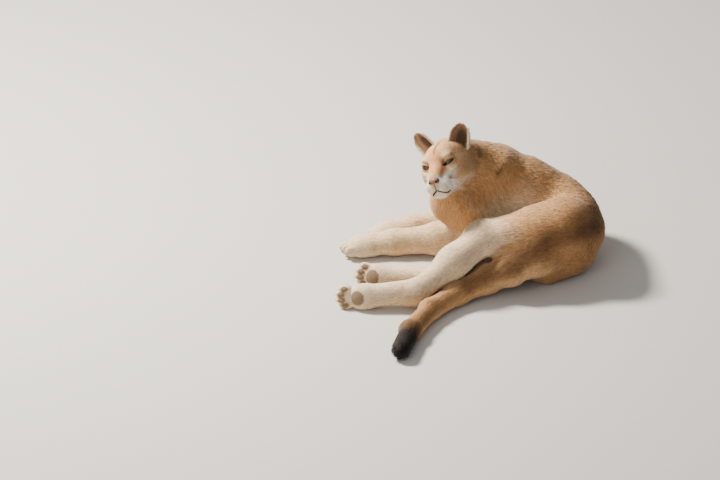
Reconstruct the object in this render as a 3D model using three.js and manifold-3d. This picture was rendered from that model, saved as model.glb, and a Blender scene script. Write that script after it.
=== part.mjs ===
// A cougar lying on its right hip, both forelegs stretched to one side, head raised and turned.
// Millimetres, +Z up. The floor is Z = 0. X runs along the photo, Y away from the viewer.
// The body is one smooth field of rounded cones laid on the bones, parted with thin cuts.

import * as THREE from 'three';
import Module from 'manifold-3d';

const wasm = await Module();
wasm.setup();

// Driving sizes

const HEAD_SCALE = 9.3; // mm for each unit of the head's own frame, about 20 cm from nose to nape
const HEAD_AT = [-65, 92, 300]; // middle of the skull
const HEAD_YAW = 248; // degrees round from +X, so the face looks at the viewer and a little left
const HEAD_PITCH = 14; // degrees that the nose is raised
const HEAD_ROLL = 23; // degrees that the head leans over
const EYE_RADIUS = 17;
const GAP = 0.3; // between neighbours
const HALF_GAP = GAP / 2;
const FLOOR_REACH = 2000;

const CELL = { body: 34, limb: 26, tail: 24, paw: 13.5, head: 12.6 };

// Joints of the skeleton and middles of the trunk

const AT = {
  sacrum: [140, -35, 100],
  pelvis: [195, 12, 112],
  loinStart: [262, 48, 118],
  loinBend: [282, 102, 108],
  loinEnd: [262, 165, 106],
  lastRib: [212, 208, 106],
  midRib: [130, 218, 126],
  foreRib: [52, 210, 136],
  breast: [5, 200, 134],
  neckBase: [48, 200, 214],
  neckTop: [-38, 152, 272],
};

const FORE_LEFT = {
  blade: [75, 158, 238],
  shoulder: [-38, 140, 172],
  elbow: [50, 156, 55],
  midArm: [-80, 157, 46],
  wrist: [-200, 154, 37],
  knuckle: [-290, 145, 30],
  toes: [-328, 139, 26],
};

const FORE_RIGHT = {
  blade: [85, 258, 218],
  shoulder: [-30, 275, 158],
  elbow: [75, 288, 50],
  midArm: [-40, 262, 45],
  wrist: [-150, 240, 38],
  knuckle: [-225, 224, 31],
  toes: [-255, 217, 28],
};

const HIND_LEFT = {
  hip: [240, 18, 150],
  ham: [175, -45, 110],
  knee: [38, -28, 142],
  calf: [-45, -92, 105],
  hock: [-142, -160, 50],
  knuckle: [-290, -163, 34],
  toes: [-342, -160, 32],
};

const HIND_RIGHT = {
  hip: [258, 52, 52],
  ham: [205, -2, 43],
  knee: [85, 46, 42],
  calf: [-10, -10, 39],
  hock: [-112, -60, 32],
  knuckle: [-250, -50, 36],
  toes: [-290, -46, 42],
};

const TAIL = [
  { at: [165, -60, 106], r: 48 },
  { at: [108, -86, 80], r: 44 },
  { at: [46, -92, 52], r: 38 },
  { at: [-36, -142, 33], r: 31 },
  { at: [-108, -224, 27], r: 28 },
  { at: [-162, -345, 27], r: 28 },
  { at: [-188, -458, 28], r: 27 },
];

// Small vector sums

const add = (a, b, k = 1) => [a[0] + b[0] * k, a[1] + b[1] * k, a[2] + b[2] * k];
const sub = (a, b) => [a[0] - b[0], a[1] - b[1], a[2] - b[2]];
const dot = (a, b) => a[0] * b[0] + a[1] * b[1] + a[2] * b[2];
const cross = (a, b) => [a[1] * b[2] - a[2] * b[1], a[2] * b[0] - a[0] * b[2], a[0] * b[1] - a[1] * b[0]];
const unit = (a) => add([0, 0, 0], a, 1 / Math.hypot(...a));
const mix = (a, b, t) => a + (b - a) * t;

// Head's own frame: x to the nose, y to the left ear, z to the crown

function headFrame() {
  const rad = Math.PI / 180;
  const flat = [Math.cos(HEAD_YAW * rad), Math.sin(HEAD_YAW * rad), 0];
  const rise = HEAD_PITCH * rad;
  const front = add(add([0, 0, 0], flat, Math.cos(rise)), [0, 0, 1], Math.sin(rise));
  const level = unit(cross([0, 0, 1], front));
  const crown = cross(front, level);
  const lean = HEAD_ROLL * rad;
  const left = add(add([0, 0, 0], level, Math.cos(lean)), crown, Math.sin(lean));
  return { front, left, up: cross(front, left) };
}

const HEAD = headFrame();
const turn = (d) => add(add(add([0, 0, 0], HEAD.front, d[0]), HEAD.left, d[1]), HEAD.up, d[2]);
const onHead = (x, y, z) => add(HEAD_AT, turn([x, y, z]), HEAD_SCALE);

// A rounded cone between two points, with its section widened one way and raised the other

function cone(a, b, ra, rb, shape = {}) {
  const { wide = 1, high = 1, up = [0, 0, 1], soft = 25 } = shape;
  const along = sub(b, a);
  const length = Math.hypot(...along);
  const w = length > 1e-6 ? unit(along) : unit(shape.axis);
  const u = unit(cross(up, w));
  return { a, b, ra, rb, wide, high, soft, length, w, u, v: cross(w, u) };
}

// An egg with its own half length, half width and half height

function egg(at, axis, up, long, wide, high, soft = 25) {
  return cone(at, at, long, long, { axis, up, wide: wide / long, high: high / long, soft });
}

function coneField(c, x, y, z) {
  const px = x - c.a[0];
  const py = y - c.a[1];
  const pz = z - c.a[2];
  const along = px * c.w[0] + py * c.w[1] + pz * c.w[2];
  const side = (px * c.u[0] + py * c.u[1] + pz * c.u[2]) / c.wide;
  const rise = (px * c.v[0] + py * c.v[1] + pz * c.v[2]) / c.high;
  const t = c.length > 0 ? Math.min(Math.max(along / c.length, 0), 1) : 0;
  const rest = along - t * c.length;
  const far = Math.hypot(side, rise, rest) + 1e-9;
  const slope = Math.hypot(side / far / c.wide, rise / far / c.high, rest / far);
  return (far - mix(c.ra, c.rb, t)) / slope;
}

function blend(a, b, k) {
  const h = Math.max(k - Math.abs(a - b), 0) / k;
  return Math.min(a, b) - (h * h * k) / 4;
}

function partField(cones, x, y, z) {
  let d = coneField(cones[0], x, y, z);
  for (let i = 1; i < cones.length; i++) {
    d = blend(d, coneField(cones[i], x, y, z), cones[i].soft);
  }
  return d;
}

const tail = TAIL.slice(1).map((end, i) => cone(TAIL[i].at, end.at, TAIL[i].r, end.r, { soft: 20 }));

// Trunk: the loin curls round, so the back faces the viewer at the rump and the sky at the ribs

const rumpBack = unit([0.56, -0.71, 0.42]);
const loinBack = unit([0.85, -0.25, 0.45]);
const ribBack = [0.1, 0, 1];

const trunk = [
  cone(AT.sacrum, AT.pelvis, 58, 80, { up: rumpBack, wide: 1.0, high: 0.85 }),
  cone(AT.pelvis, AT.loinStart, 82, 84, { up: rumpBack, wide: 1.05, high: 0.88, soft: 40 }),
  cone(AT.loinStart, AT.loinBend, 80, 72, { up: loinBack, wide: 1.0, high: 0.92, soft: 40 }),
  cone(AT.loinBend, AT.loinEnd, 72, 78, { up: loinBack, wide: 1.05, high: 0.98, soft: 40 }),
  cone(AT.loinEnd, AT.lastRib, 78, 92, { up: ribBack, wide: 0.98, high: 1.06, soft: 40 }),
  cone(AT.lastRib, AT.midRib, 92, 102, { up: ribBack, wide: 0.96, high: 1.16, soft: 40 }),
  cone(AT.midRib, AT.foreRib, 104, 94, { up: ribBack, wide: 0.94, high: 1.26, soft: 40 }),
  cone(AT.foreRib, AT.breast, 92, 72, { up: ribBack, wide: 0.94, high: 1.26, soft: 40 }),
  { ...tail[0], soft: 40 },
];

const neck = [
  cone(AT.neckBase, AT.neckTop, 92, 76, { up: [0, 0, 1], wide: 0.92, high: 1.0, soft: 40 }),
  cone(AT.breast, add(AT.neckTop, [0, -10, -45]), 66, 55, { up: [1, 0, 0], soft: 40 }),
];

// Head, in its own frame

const h = HEAD_SCALE;
const headEgg = (x, y, z, long, wide, high, soft = 2.5) =>
  egg(onHead(x, y, z), HEAD.front, HEAD.up, long * h, wide * h, high * h, soft * h);
const headCone = (p, q, rp, rq, shape) =>
  cone(onHead(...p), onHead(...q), rp * h, rq * h, { up: HEAD.up, soft: 2.2 * h, ...shape });
const pair = (make) => [make(1), make(-1)];

const head = [
  headEgg(-1.2, 0, 1.9, 7.2, 5.9, 5.1),
  headEgg(3.6, 0, 2.7, 4.4, 4.3, 3.2),
  ...pair((s) => headEgg(2.2, s * 4.3, -1.4, 4.4, 2.6, 3.5)),
  ...pair((s) => headEgg(-1.2, s * 3.9, -2.0, 4.2, 2.7, 3.4)),
  headCone([4.0, 0, -2.0], [9.7, 0, -3.7], 4.1, 3.1, { wide: 1.1, high: 0.98 }),
  headCone([4.6, 0, 1.6], [11.2, 0, -1.3], 2.4, 1.5, { wide: 1.15, soft: 16 }),
  ...pair((s) => headEgg(9.6, s * 1.85, -4.5, 2.5, 2.0, 2.2, 1.0)),
  headCone([2.2, 0, -4.6], [8.9, 0, -6.6], 3.1, 1.95, { wide: 1.3, high: 0.95 }),
  ...pair((s) => headEgg(5.3, s * 3.1, 3.2, 1.9, 1.6, 1.1, 1.2)),
];

// Hollows that the eyes look out of

const orbits = pair((s) => headEgg(7.2, s * 4.0, 1.45, 1.6, 1.6, 1.05));

// Legs. A paw is a broad pad of the foot with four toes set side by side.

function paw(leg, across, size) {
  const forward = unit(sub(leg.toes, leg.knuckle));
  const side = unit(cross(cross(forward, across), forward));
  const top = unit(cross(forward, side));
  const spread = [-0.78, -0.27, 0.27, 0.78];
  const reach = [0.0, 0.3, 0.3, 0.05];
  const toes = spread.map((s, i) => {
    const at = add(add(leg.toes, side, s * size * 0.82), forward, (reach[i] - 0.25) * size);
    return egg(at, forward, top, size * 0.62, size * 0.36, size * 0.5, size * 0.12);
  });
  return [egg(leg.knuckle, forward, top, size * 1.2, size * 0.98, size * 0.68, size * 0.6), ...toes];
}

const foreLeg = (leg, out) => ({
  upper: [
    cone(leg.blade, leg.shoulder, 48, 60, { up: out, wide: 1.15, high: 0.72, soft: 45 }),
    cone(leg.shoulder, leg.elbow, 60, 50, { up: out, wide: 1.1, high: 0.8, soft: 40 }),
  ],
  lower: [
    cone(leg.elbow, leg.midArm, 49, 43, { soft: 30 }),
    cone(leg.midArm, leg.wrist, 42, 34, { wide: 1.0, high: 1.02, soft: 25 }),
    cone(leg.wrist, leg.knuckle, 34, 32, { wide: 1.06, high: 0.95, soft: 20 }),
    ...paw(leg, [0, 1, 0], 36),
  ],
});

const hindLeg = (leg, out, across, girth) => ({
  upper: [
    cone(leg.hip, leg.knee, 88 * girth, 52 * girth, { up: out, wide: 1.12, high: 0.86, soft: 40 }),
    cone(leg.ham, leg.knee, 66 * girth, 40 * girth, { up: out, wide: 1.0, high: 0.9, soft: 40 }),
  ],
  lower: [
    cone(leg.knee, leg.calf, 52 * girth, 43 * girth, { up: out, wide: 1.12, high: 0.9, soft: 30 }),
    cone(leg.calf, leg.hock, 42 * girth, 31, { up: out, wide: 1.08, high: 0.92, soft: 30 }),
    cone(leg.hock, leg.knuckle, 33, 29, { up: across, wide: 0.95, high: 1.05, soft: 20 }),
    ...paw(leg, across, 35),
  ],
});

const legs = {
  foreLeft: foreLeg(FORE_LEFT, [0, -1, 0.15]),
  foreRight: foreLeg(FORE_RIGHT, [0, 1, 0.15]),
  hindRight: hindLeg(HIND_RIGHT, unit([0.2, -0.3, -0.9]), [0, 0.3, 1], 0.8),
  hindLeft: hindLeg(HIND_LEFT, unit([-0.26, 0.33, 0.91]), [0, 0.25, 1], 1),
};


// Fields of whole parts, and of the body they make together

const at = (cones) => (x, y, z) => partField(cones, x, y, z);

function headField(x, y, z) {
  let d = partField(head, x, y, z);
  for (const hollow of orbits) d = -blend(-d, coneField(hollow, x, y, z), 8);
  return d;
}

const legAt = (leg) => (x, y, z) =>
  blend(partField(leg.upper, x, y, z), partField(leg.lower, x, y, z), 22);

const fields = {
  trunk: at([...trunk, ...neck]),
  head: headField,
  tail: at(tail),
  foreLeft: legAt(legs.foreLeft),
  foreRight: legAt(legs.foreRight),
  hindRight: legAt(legs.hindRight),
  hindLeft: legAt(legs.hindLeft),
};

function body(x, y, z) {
  let d = blend(fields.trunk(x, y, z), fields.head(x, y, z), 30);
  for (const leg of Object.values(legs)) {
    d = blend(d, partField(leg.upper, x, y, z), 32);
  }
  d = blend(d, fields.tail(x, y, z), 10);
  for (const leg of Object.values(legs)) {
    d = blend(d, partField(leg.lower, x, y, z), 14);
  }
  return d;
}

// Boxes round parts of the body

function reachOf(cones, margin) {
  const box = new THREE.Box3();
  for (const c of cones) {
    const r = Math.max(c.ra, c.rb) * Math.max(c.wide, c.high, 1) + margin;
    for (const end of [c.a, c.b]) {
      box.expandByPoint(new THREE.Vector3(end[0] - r, end[1] - r, end[2] - r));
      box.expandByPoint(new THREE.Vector3(end[0] + r, end[1] + r, end[2] + r));
    }
  }
  return box;
}

// Values of a field on a grid of cubes, kept positive on the grid's rim so that it closes

function sample(field, box, cell) {
  const size = box.getSize(new THREE.Vector3());
  const n = [size.x, size.y, size.z].map((s) => Math.ceil(s / cell) + 3);
  const from = [box.min.x - cell, box.min.y - cell, box.min.z - cell];
  const value = new Float64Array(n[0] * n[1] * n[2]);
  let i = 0;
  for (let c = 0; c < n[2]; c++) {
    for (let b = 0; b < n[1]; b++) {
      for (let a = 0; a < n[0]; a++) {
        const rim = a === 0 || b === 0 || c === 0 || a === n[0] - 1 || b === n[1] - 1 || c === n[2] - 1;
        const d = field(from[0] + a * cell, from[1] + b * cell, from[2] + c * cell);
        value[i++] = rim ? Math.max(d, cell / 4) : d;
      }
    }
  }
  return { n, from, cell, value };
}

// Where two corners of a cube's face are inside and lie diagonally, the shallower one is opened

function openDiagonals(g) {
  const [nx, ny, nz] = g.n;
  const step = [1, nx, nx * ny];
  let changed = true;
  while (changed) {
    changed = false;
    for (let i = 0; i < nx * ny * nz; i++) {
      const place = [i % nx, Math.floor(i / nx) % ny, Math.floor(i / (nx * ny))];
      for (let m = 0; m < 3; m++) {
        const s = (m + 1) % 3;
        const t = (m + 2) % 3;
        if (place[s] + 1 >= g.n[s] || place[t] + 1 >= g.n[t]) continue;
        const ring = [i, i + step[s], i + step[s] + step[t], i + step[t]];
        const inside = ring.map((k) => g.value[k] < 0);
        if (inside[0] !== inside[2] || inside[1] !== inside[3] || inside[0] === inside[1]) continue;
        const [p, q] = inside[0] ? [ring[0], ring[2]] : [ring[1], ring[3]];
        g.value[g.value[p] > g.value[q] ? p : q] = g.cell * 0.02;
        changed = true;
      }
    }
  }
}

// Smooth mesh of a field: one point in each cube that the surface crosses, drawn onto it

function netMesh(field, box, cell) {
  const g = sample(field, box, cell);
  openDiagonals(g);
  const [nx, ny, nz] = g.n;
  const step = [1, nx, nx * ny];
  const corner = [];
  for (let k = 0; k < 8; k++) corner.push([k & 1, (k >> 1) & 1, k >> 2]);
  const edges = [];
  for (let p = 0; p < 8; p++) {
    for (const bit of [1, 2, 4]) if (!(p & bit)) edges.push([p, p | bit]);
  }
  const slot = new Int32Array(nx * ny * nz).fill(-1);
  const inner = box.clone().expandByScalar(-cell);
  const points = [];
  for (let c = 0; c < nz - 1; c++) {
    for (let b = 0; b < ny - 1; b++) {
      for (let a = 0; a < nx - 1; a++) {
        const i = a + b * step[1] + c * step[2];
        const v = corner.map((o) => g.value[i + o[0] + o[1] * step[1] + o[2] * step[2]]);
        const sum = [0, 0, 0];
        let count = 0;
        for (const [p, q] of edges) {
          if (v[p] < 0 === v[q] < 0) continue;
          const t = v[p] / (v[p] - v[q]);
          for (let m = 0; m < 3; m++) sum[m] += mix(corner[p][m], corner[q][m], t);
          count++;
        }
        if (!count) continue;
        slot[i] = points.length / 3;
        const here = [a, b, c].map((o, m) => g.from[m] + (o + sum[m] / count) * cell);
        const free = inner.containsPoint(new THREE.Vector3(...here));
        points.push(...(free ? ontoSurface(field, here, cell * 0.3) : here));
      }
    }
  }
  const faces = [];
  for (let c = 0; c < nz - 1; c++) {
    for (let b = 0; b < ny - 1; b++) {
      for (let a = 0; a < nx - 1; a++) {
        const i = a + b * step[1] + c * step[2];
        const place = [a, b, c];
        for (let m = 0; m < 3; m++) {
          if (place[(m + 1) % 3] === 0 || place[(m + 2) % 3] === 0) continue;
          const inside = g.value[i] < 0;
          if (inside === g.value[i + step[m]] < 0) continue;
          const s = step[(m + 1) % 3];
          const t = step[(m + 2) % 3];
          const ring = [slot[i - s - t], slot[i - t], slot[i], slot[i - s]];
          if (!inside) ring.reverse();
          faces.push(ring[0], ring[1], ring[2], ring[0], ring[2], ring[3]);
        }
      }
    }
  }
  return solid(points, faces);
}

// Moves a point onto the surface of a field, a little way at a time

function ontoSurface(field, p, limit, turns = 2) {
  const e = 0.5;
  let q = p;
  for (let i = 0; i < turns; i++) {
    const d = field(...q);
    const slope = [0, 1, 2].map((m) => {
      const r = [...q];
      r[m] += e;
      return (field(...r) - d) / e;
    });
    const steep = Math.max(dot(slope, slope), 0.3);
    q = add(q, slope, -Math.max(Math.min(d / steep, limit), -limit));
  }
  return q;
}

// Level surface of a field by tetrahedra. Two levels of one field never cross.

function levelMesh(field, box, cell, level) {
  const g = sample((x, y, z) => field(x, y, z) - level, box, cell);
  const [nx, ny, nz] = g.n;
  const points = [];
  const faces = [];
  const made = new Map();
  const place = (i) => [i % nx, Math.floor(i / nx) % ny, Math.floor(i / (nx * ny))];
  const crossing = (i, j) => {
    const lo = Math.min(i, j);
    const hi = Math.max(i, j);
    const key = lo * nx * ny * nz + hi;
    if (!made.has(key)) {
      const t = g.value[lo] / (g.value[lo] - g.value[hi]);
      const p = place(lo);
      const q = place(hi);
      made.set(key, points.length / 3);
      points.push(...[0, 1, 2].map((m) => g.from[m] + mix(p[m], q[m], t) * cell));
    }
    return made.get(key);
  };
  const shift = (k) => (k & 1) + ((k >> 1) & 1) * nx + (k >> 2) * nx * ny;
  const paths = [[1, 2], [1, 4], [2, 1], [2, 4], [4, 1], [4, 2]];
  const outward = (three, low) => {
    const p = three.map((k) => points.slice(k * 3, k * 3 + 3));
    const facing = dot(cross(sub(p[1], p[0]), sub(p[2], p[0])), sub(p[0], low));
    return facing > 0 ? three : [three[0], three[2], three[1]];
  };
  for (let c = 0; c < nz - 1; c++) {
    for (let b = 0; b < ny - 1; b++) {
      for (let a = 0; a < nx - 1; a++) {
        const i = a + b * nx + c * nx * ny;
        for (const path of paths) {
          const four = [0, path[0], path[0] | path[1], 7].map((k) => i + shift(k));
          const low = four.filter((k) => g.value[k] < 0);
          const high = four.filter((k) => g.value[k] >= 0);
          if (!low.length || !high.length) continue;
          const inside = place(low[0]).map((o, m) => g.from[m] + o * cell);
          const ring =
            low.length === 2
              ? [[0, 0], [0, 1], [1, 1], [1, 0]].map(([m, o]) => crossing(low[m], high[o]))
              : low.flatMap((m) => high.map((o) => crossing(m, o)));
          for (let k = 2; k < ring.length; k++) {
            faces.push(...outward([ring[0], ring[k - 1], ring[k]], inside));
          }
        }
      }
    }
  }
  return solid(points, faces);
}

// Solids, joined and cut

function solid(points, faces) {
  const mesh = new wasm.Mesh({
    numProp: 3,
    vertProperties: Float32Array.from(points),
    triVerts: Uint32Array.from(faces),
  });
  return new wasm.Manifold(mesh);
}

function largest(s) {
  const bodies = s.decompose();
  return bodies.reduce((a, b) => (Math.abs(b.volume()) > Math.abs(a.volume()) ? b : a));
}

// A block that begins at a plane and runs along its normal

function block(from, along, wide, tall, deep, up = [0, 0, 1]) {
  const w = unit(along);
  const u = unit(cross(up, w));
  const v = cross(w, u);
  return { from, w, u, v, wide, tall, deep };
}

function blockPoints(b, grow) {
  const points = [];
  for (let k = 0; k < 8; k++) {
    const side = (k & 1 ? 1 : -1) * (b.wide + grow);
    const rise = (k & 2 ? 1 : -1) * (b.tall + grow);
    const depth = k & 4 ? b.deep + grow : -grow;
    points.push(add(add(add(b.from, b.u, side), b.v, rise), b.w, depth));
  }
  return points;
}

function blockSolid(b, grow) {
  const ends = [0, 2, 1, 1, 2, 3, 4, 5, 6, 5, 7, 6];
  const sides = [0, 1, 4, 1, 5, 4, 2, 6, 3, 3, 6, 7, 0, 4, 2, 2, 4, 6, 1, 3, 5, 3, 7, 5];
  return solid(blockPoints(b, grow).flat(), [...ends, ...sides]);
}

function blockReach(b) {
  return new THREE.Box3().setFromPoints(blockPoints(b, 0).map((p) => new THREE.Vector3(...p)));
}

// A closed tapering tube through a few points, for lids and lips

function tube(knots, radii, sides = 6, steps = 10) {
  const curve = new THREE.CatmullRomCurve3(knots.map((p) => new THREE.Vector3(...p)));
  const points = [];
  const faces = [];
  let side = null;
  for (let i = 0; i <= steps; i++) {
    const t = i / steps;
    const here = curve.getPoint(t).toArray();
    const along = curve.getTangent(t).toArray();
    side = unit(cross(along, side ? cross(side, along) : HEAD.front));
    const other = cross(along, side);
    const r = mix(radii[0], radii[1], Math.sin(Math.PI * t));
    for (let k = 0; k < sides; k++) {
      const turnBy = (2 * Math.PI * k) / sides;
      points.push(...add(add(here, side, r * Math.cos(turnBy)), other, r * Math.sin(turnBy)));
    }
  }
  for (let i = 0; i < steps; i++) {
    for (let k = 0; k < sides; k++) {
      const p = i * sides + k;
      const q = i * sides + ((k + 1) % sides);
      faces.push(p, q, q + sides, p, q + sides, p + sides);
    }
  }
  const last = steps * sides;
  for (let k = 1; k < sides - 1; k++) {
    faces.push(0, k + 1, k, last, last + k, last + k + 1);
  }
  const made = solid(points, faces);
  return made.volume() > 0 ? made : solid(points, faces.reverse());
}

// A ball, stretched along the head's three ways where asked

function ball(at, radii, across, around) {
  const shape = new THREE.SphereGeometry(1, across, around);
  const places = shape.getAttribute('position');
  const merged = new Map();
  const points = [];
  const index = [];
  for (let i = 0; i < places.count; i++) {
    const p = [places.getX(i), places.getY(i), places.getZ(i)];
    const key = p.map((c) => Math.round(c * 1e4)).join();
    if (!merged.has(key)) {
      merged.set(key, points.length / 3);
      points.push(...add(at, turn([p[1] * radii[0], p[2] * radii[1], p[0] * radii[2]])));
    }
    index.push(merged.get(key));
  }
  const faces = [];
  const order = shape.index.array;
  for (let i = 0; i < order.length; i += 3) {
    const f = [index[order[i]], index[order[i + 1]], index[order[i + 2]]];
    if (new Set(f).size === 3) faces.push(...f);
  }
  const made = solid(points, faces);
  return made.volume() > 0 ? made : solid(points, faces.reverse());
}

// Ear: a cupped leaf of skin and fur, open to the front, thick at its root

const EAR = { root: [-1.8, 4.7], height: 6.0, half: 2.85, cup: 1.7, thick: 0.75, roundness: 2.7 };

// Each ear is turned by itself: degrees that it leans out, and how high its root sits

const EAR_LEFT = { lean: 22, base: 5.0 };
const EAR_RIGHT = { lean: 34, base: 5.7 };
const earTurn = (s) => (s > 0 ? EAR_LEFT : EAR_RIGHT);

function ear(s) {
  const rad = Math.PI / 180;
  const { lean, base } = earTurn(s);
  const rise = [-0.12, Math.sin(lean * rad) * s, Math.cos(lean * rad)];
  const open = unit([0.9, 0.42 * s, 0.0]);
  const side = unit(cross(rise, open));
  const front = cross(side, unit(rise));
  const rows = 7;
  const columns = 8;
  const points = [];
  const faces = [];
  const leaf = (u, v, depth) => {
    const half = EAR.half * Math.sqrt(Math.max(1 - Math.pow(Math.max(v, 0), EAR.roundness), 0)) + 0.12;
    const bend = EAR.cup * (1 - 0.55 * Math.max(v, 0));
    const back = bend * (1 - u * u) - depth * (1 - 0.75 * u * u);
    const p = add(add([0, 0, 0], side, half * u), front, -back);
    const root = [EAR.root[0], EAR.root[1] * s, base];
    return onHead(...add(add(root, rise, EAR.height * v), p));
  };
  for (const depth of [0, EAR.thick]) {
    for (let j = 0; j <= rows; j++) {
      const v = -0.25 + (1.25 * j) / rows;
      for (let i = 0; i <= columns; i++) {
        const u = -1 + (2 * i) / columns;
        points.push(...leaf(u, v, depth * (1 - 0.6 * Math.max(v, 0))));
      }
    }
  }
  const layer = (rows + 1) * (columns + 1);
  const id = (j, i, k) => k * layer + j * (columns + 1) + i;
  for (let j = 0; j < rows; j++) {
    for (let i = 0; i < columns; i++) {
      const q = [id(j, i, 0), id(j, i + 1, 0), id(j + 1, i + 1, 0), id(j + 1, i, 0)];
      faces.push(q[0], q[1], q[2], q[0], q[2], q[3]);
      faces.push(q[0] + layer, q[2] + layer, q[1] + layer, q[0] + layer, q[3] + layer, q[2] + layer);
    }
  }
  const wall = (p, q) => faces.push(p, q + layer, q, p, p + layer, q + layer);
  for (let i = 0; i < columns; i++) {
    wall(id(0, i, 0), id(0, i + 1, 0));
    wall(id(rows, i + 1, 0), id(rows, i, 0));
  }
  for (let j = 0; j < rows; j++) {
    wall(id(j + 1, 0, 0), id(j, 0, 0));
    wall(id(j, columns, 0), id(j + 1, columns, 0));
  }
  const made = solid(points, faces);
  return made.volume() > 0 ? made : solid(points, faces.reverse());
}

// Where the body is parted

const pawBlock = (leg, size) => {
  const back = sub(leg.knuckle, leg.toes);
  const start = add(leg.knuckle, back, 0.35);
  return block(start, unit(sub(leg.toes, leg.knuckle)), size, size, 300);
};

const lowerBlock = (joint, next, wide, deep) => block(joint, unit(sub(next, joint)), wide, wide, deep);
const tailSteps = TAIL.map((s) => s.at);
const tailBlock = (i, t, wide, deep) => {
  const along = sub(tailSteps[i + 1], tailSteps[i]);
  return block(add(tailSteps[i], along, t), along, wide, wide, deep);
};

const earBlock = (s) => {
  const { lean, base } = earTurn(s);
  const rad = Math.PI / 180;
  const rise = turn([0, s * Math.sin(lean * rad), Math.cos(lean * rad)]);
  return block(onHead(-1.3, s * 5.2, base + 0.3), rise, 55, 60, 90, HEAD.front);
};

const cuts = {
  head: block(onHead(-5.0, 0, 0), HEAD.front, 130, 130, 300, HEAD.up),
  neck: block([52, 190, 232], unit(sub(AT.neckTop, AT.neckBase)), 160, 105, 260),
  chest: block([232, 210, 120], [-1, 0.06, 0.05], 130, 190, 330),
  loin: block([262, 58, 118], [0.2, 1, 0], 180, 190, 200),
};

// Regions that the legs own: nearer to the leg than to anything else

const regionCell = 62;

function region(name, grow) {
  const others = Object.keys(fields).filter((k) => k !== name && !(name === 'tail' && k === 'trunk'));
  const own = fields[name];
  const side = (x, y, z) => own(x, y, z) - Math.min(...others.map((k) => fields[k](x, y, z)));
  const cones = name === 'tail' ? tail : [...legs[name].upper, ...legs[name].lower];
  const box = reachOf(cones, 60);
  return levelMesh(side, box, regionCell, grow * 2.2);
}

const regions = {};
for (const name of [...Object.keys(legs), 'tail']) {
  regions[name] = { less: region(name, -HALF_GAP), more: region(name, HALF_GAP) };
}

const floor = blockSolid(block([0, 0, 0], [0, 0, -1], FLOOR_REACH, FLOOR_REACH, 300, [0, 1, 0]), 0);
const taken = [];

// One node: its own mesh of the body, kept within its region and clear of those taken before

function part(cones, cell, { owner = null, blocks = [], extra = [] }) {
  const box = reachOf(cones, 12);
  for (const b of blocks) box.intersect(blockReach(b));
  box.expandByScalar(cell);
  let s = netMesh(body, box, cell);
  for (const piece of extra) s = s.add(piece);
  let more = null;
  const within = blocks.map((b) => [blockSolid(b, -HALF_GAP), blockSolid(b, HALF_GAP)]);
  if (owner) within.push([regions[owner].less, regions[owner].more]);
  for (const [small, large] of within) {
    s = s.intersect(small);
    more = more ? more.intersect(large) : large;
  }
  for (const before of taken) s = s.subtract(before);
  if (more) taken.push(more);
  return largest(s.subtract(floor));
}

// Colours

const coat = { roughness: 0.85, metalness: 0 };
const finish = {
  back: { color: 0xb07a45, ...coat },
  side: { color: 0xc08f5c, ...coat },
  leg: { color: 0xd3ab7c, ...coat },
  pale: { color: 0xe6d3b8, ...coat },
  face: { color: 0xcfa478, ...coat },
  tail: { color: 0xa06a38, ...coat },
  tip: { color: 0x241a14, ...coat },
  nose: { color: 0x8a5a4c, roughness: 0.5, metalness: 0 },
  eye: { color: 0x6a5a2c, roughness: 0.1, metalness: 0 },
};

const cougar = new THREE.Group();

function show(name, s, look) {
  const m = s.getMesh();
  const shape = new THREE.BufferGeometry();
  const places = new Float32Array(m.numVert * 3);
  for (let i = 0; i < m.numVert; i++) {
    places.set(m.vertProperties.subarray(i * m.numProp, i * m.numProp + 3), i * 3);
  }
  shape.setAttribute('position', new THREE.BufferAttribute(places, 3));
  shape.setIndex(new THREE.BufferAttribute(m.triVerts, 1));
  const mesh = new THREE.Mesh(shape, new THREE.MeshStandardMaterial(look));
  mesh.name = name;
  cougar.add(mesh);
}

// Eyes, deep in the skull behind narrow lids

const eyeAt = (s) => onHead(4.95, s * 3.15, 1.4);

for (const [side, s] of [['left', 1], ['right', -1]]) {
  const radii = [EYE_RADIUS, EYE_RADIUS, EYE_RADIUS];
  show(`eye_${side}`, ball(eyeAt(s), radii, 12, 8), finish.eye);
  taken.push(ball(eyeAt(s), radii.map((r) => r + 2 * GAP), 12, 8));
}

// Nose leather with two nostrils

const noseAt = onHead(12.0, 0, -2.35);
const noseRadii = [11, 16, 11];
let nose = ball(noseAt, noseRadii, 12, 8);
for (const s of [1, -1]) {
  nose = nose.subtract(ball(onHead(13.1, s * 0.85, -2.5), [5.5, 3.6, 3.2], 8, 5));
}
show('nose', largest(nose), finish.nose);
taken.push(ball(noseAt, noseRadii.map((r) => r + 2 * GAP), 12, 8));

// Lids round each eye, lips along the mouth, and the dark line between the lips

function lid(s, rise) {
  const reach = EYE_RADIUS / HEAD_SCALE + 0.12;
  const [cx, cy, cz] = [4.95, s * 3.15, 1.4];
  const knots = [-1, -0.5, 0, 0.5, 1].map((k) => {
    const out = unit([1, s * (0.45 + 0.8 * k), rise * (1 - k * k) - 0.16 + 0.28 * k]);
    return onHead(cx + out[0] * reach, cy + out[1] * reach, cz + out[2] * reach);
  });
  return tube(knots, [1.6, 3.2], 6, 8);
}

const onSkin = (x, y, z) => ontoSurface(fields.head, onHead(x, y, z), 12, 6);
const lipLine = (s, drop) => [
  onSkin(12.2, s * 0.1, -5.2 - drop),
  onSkin(11.3, s * 1.5, -6.2 - drop),
  onSkin(9.4, s * 2.9, -6.5 - drop),
  onSkin(7.6, s * 3.9, -5.9 - drop),
];

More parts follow.
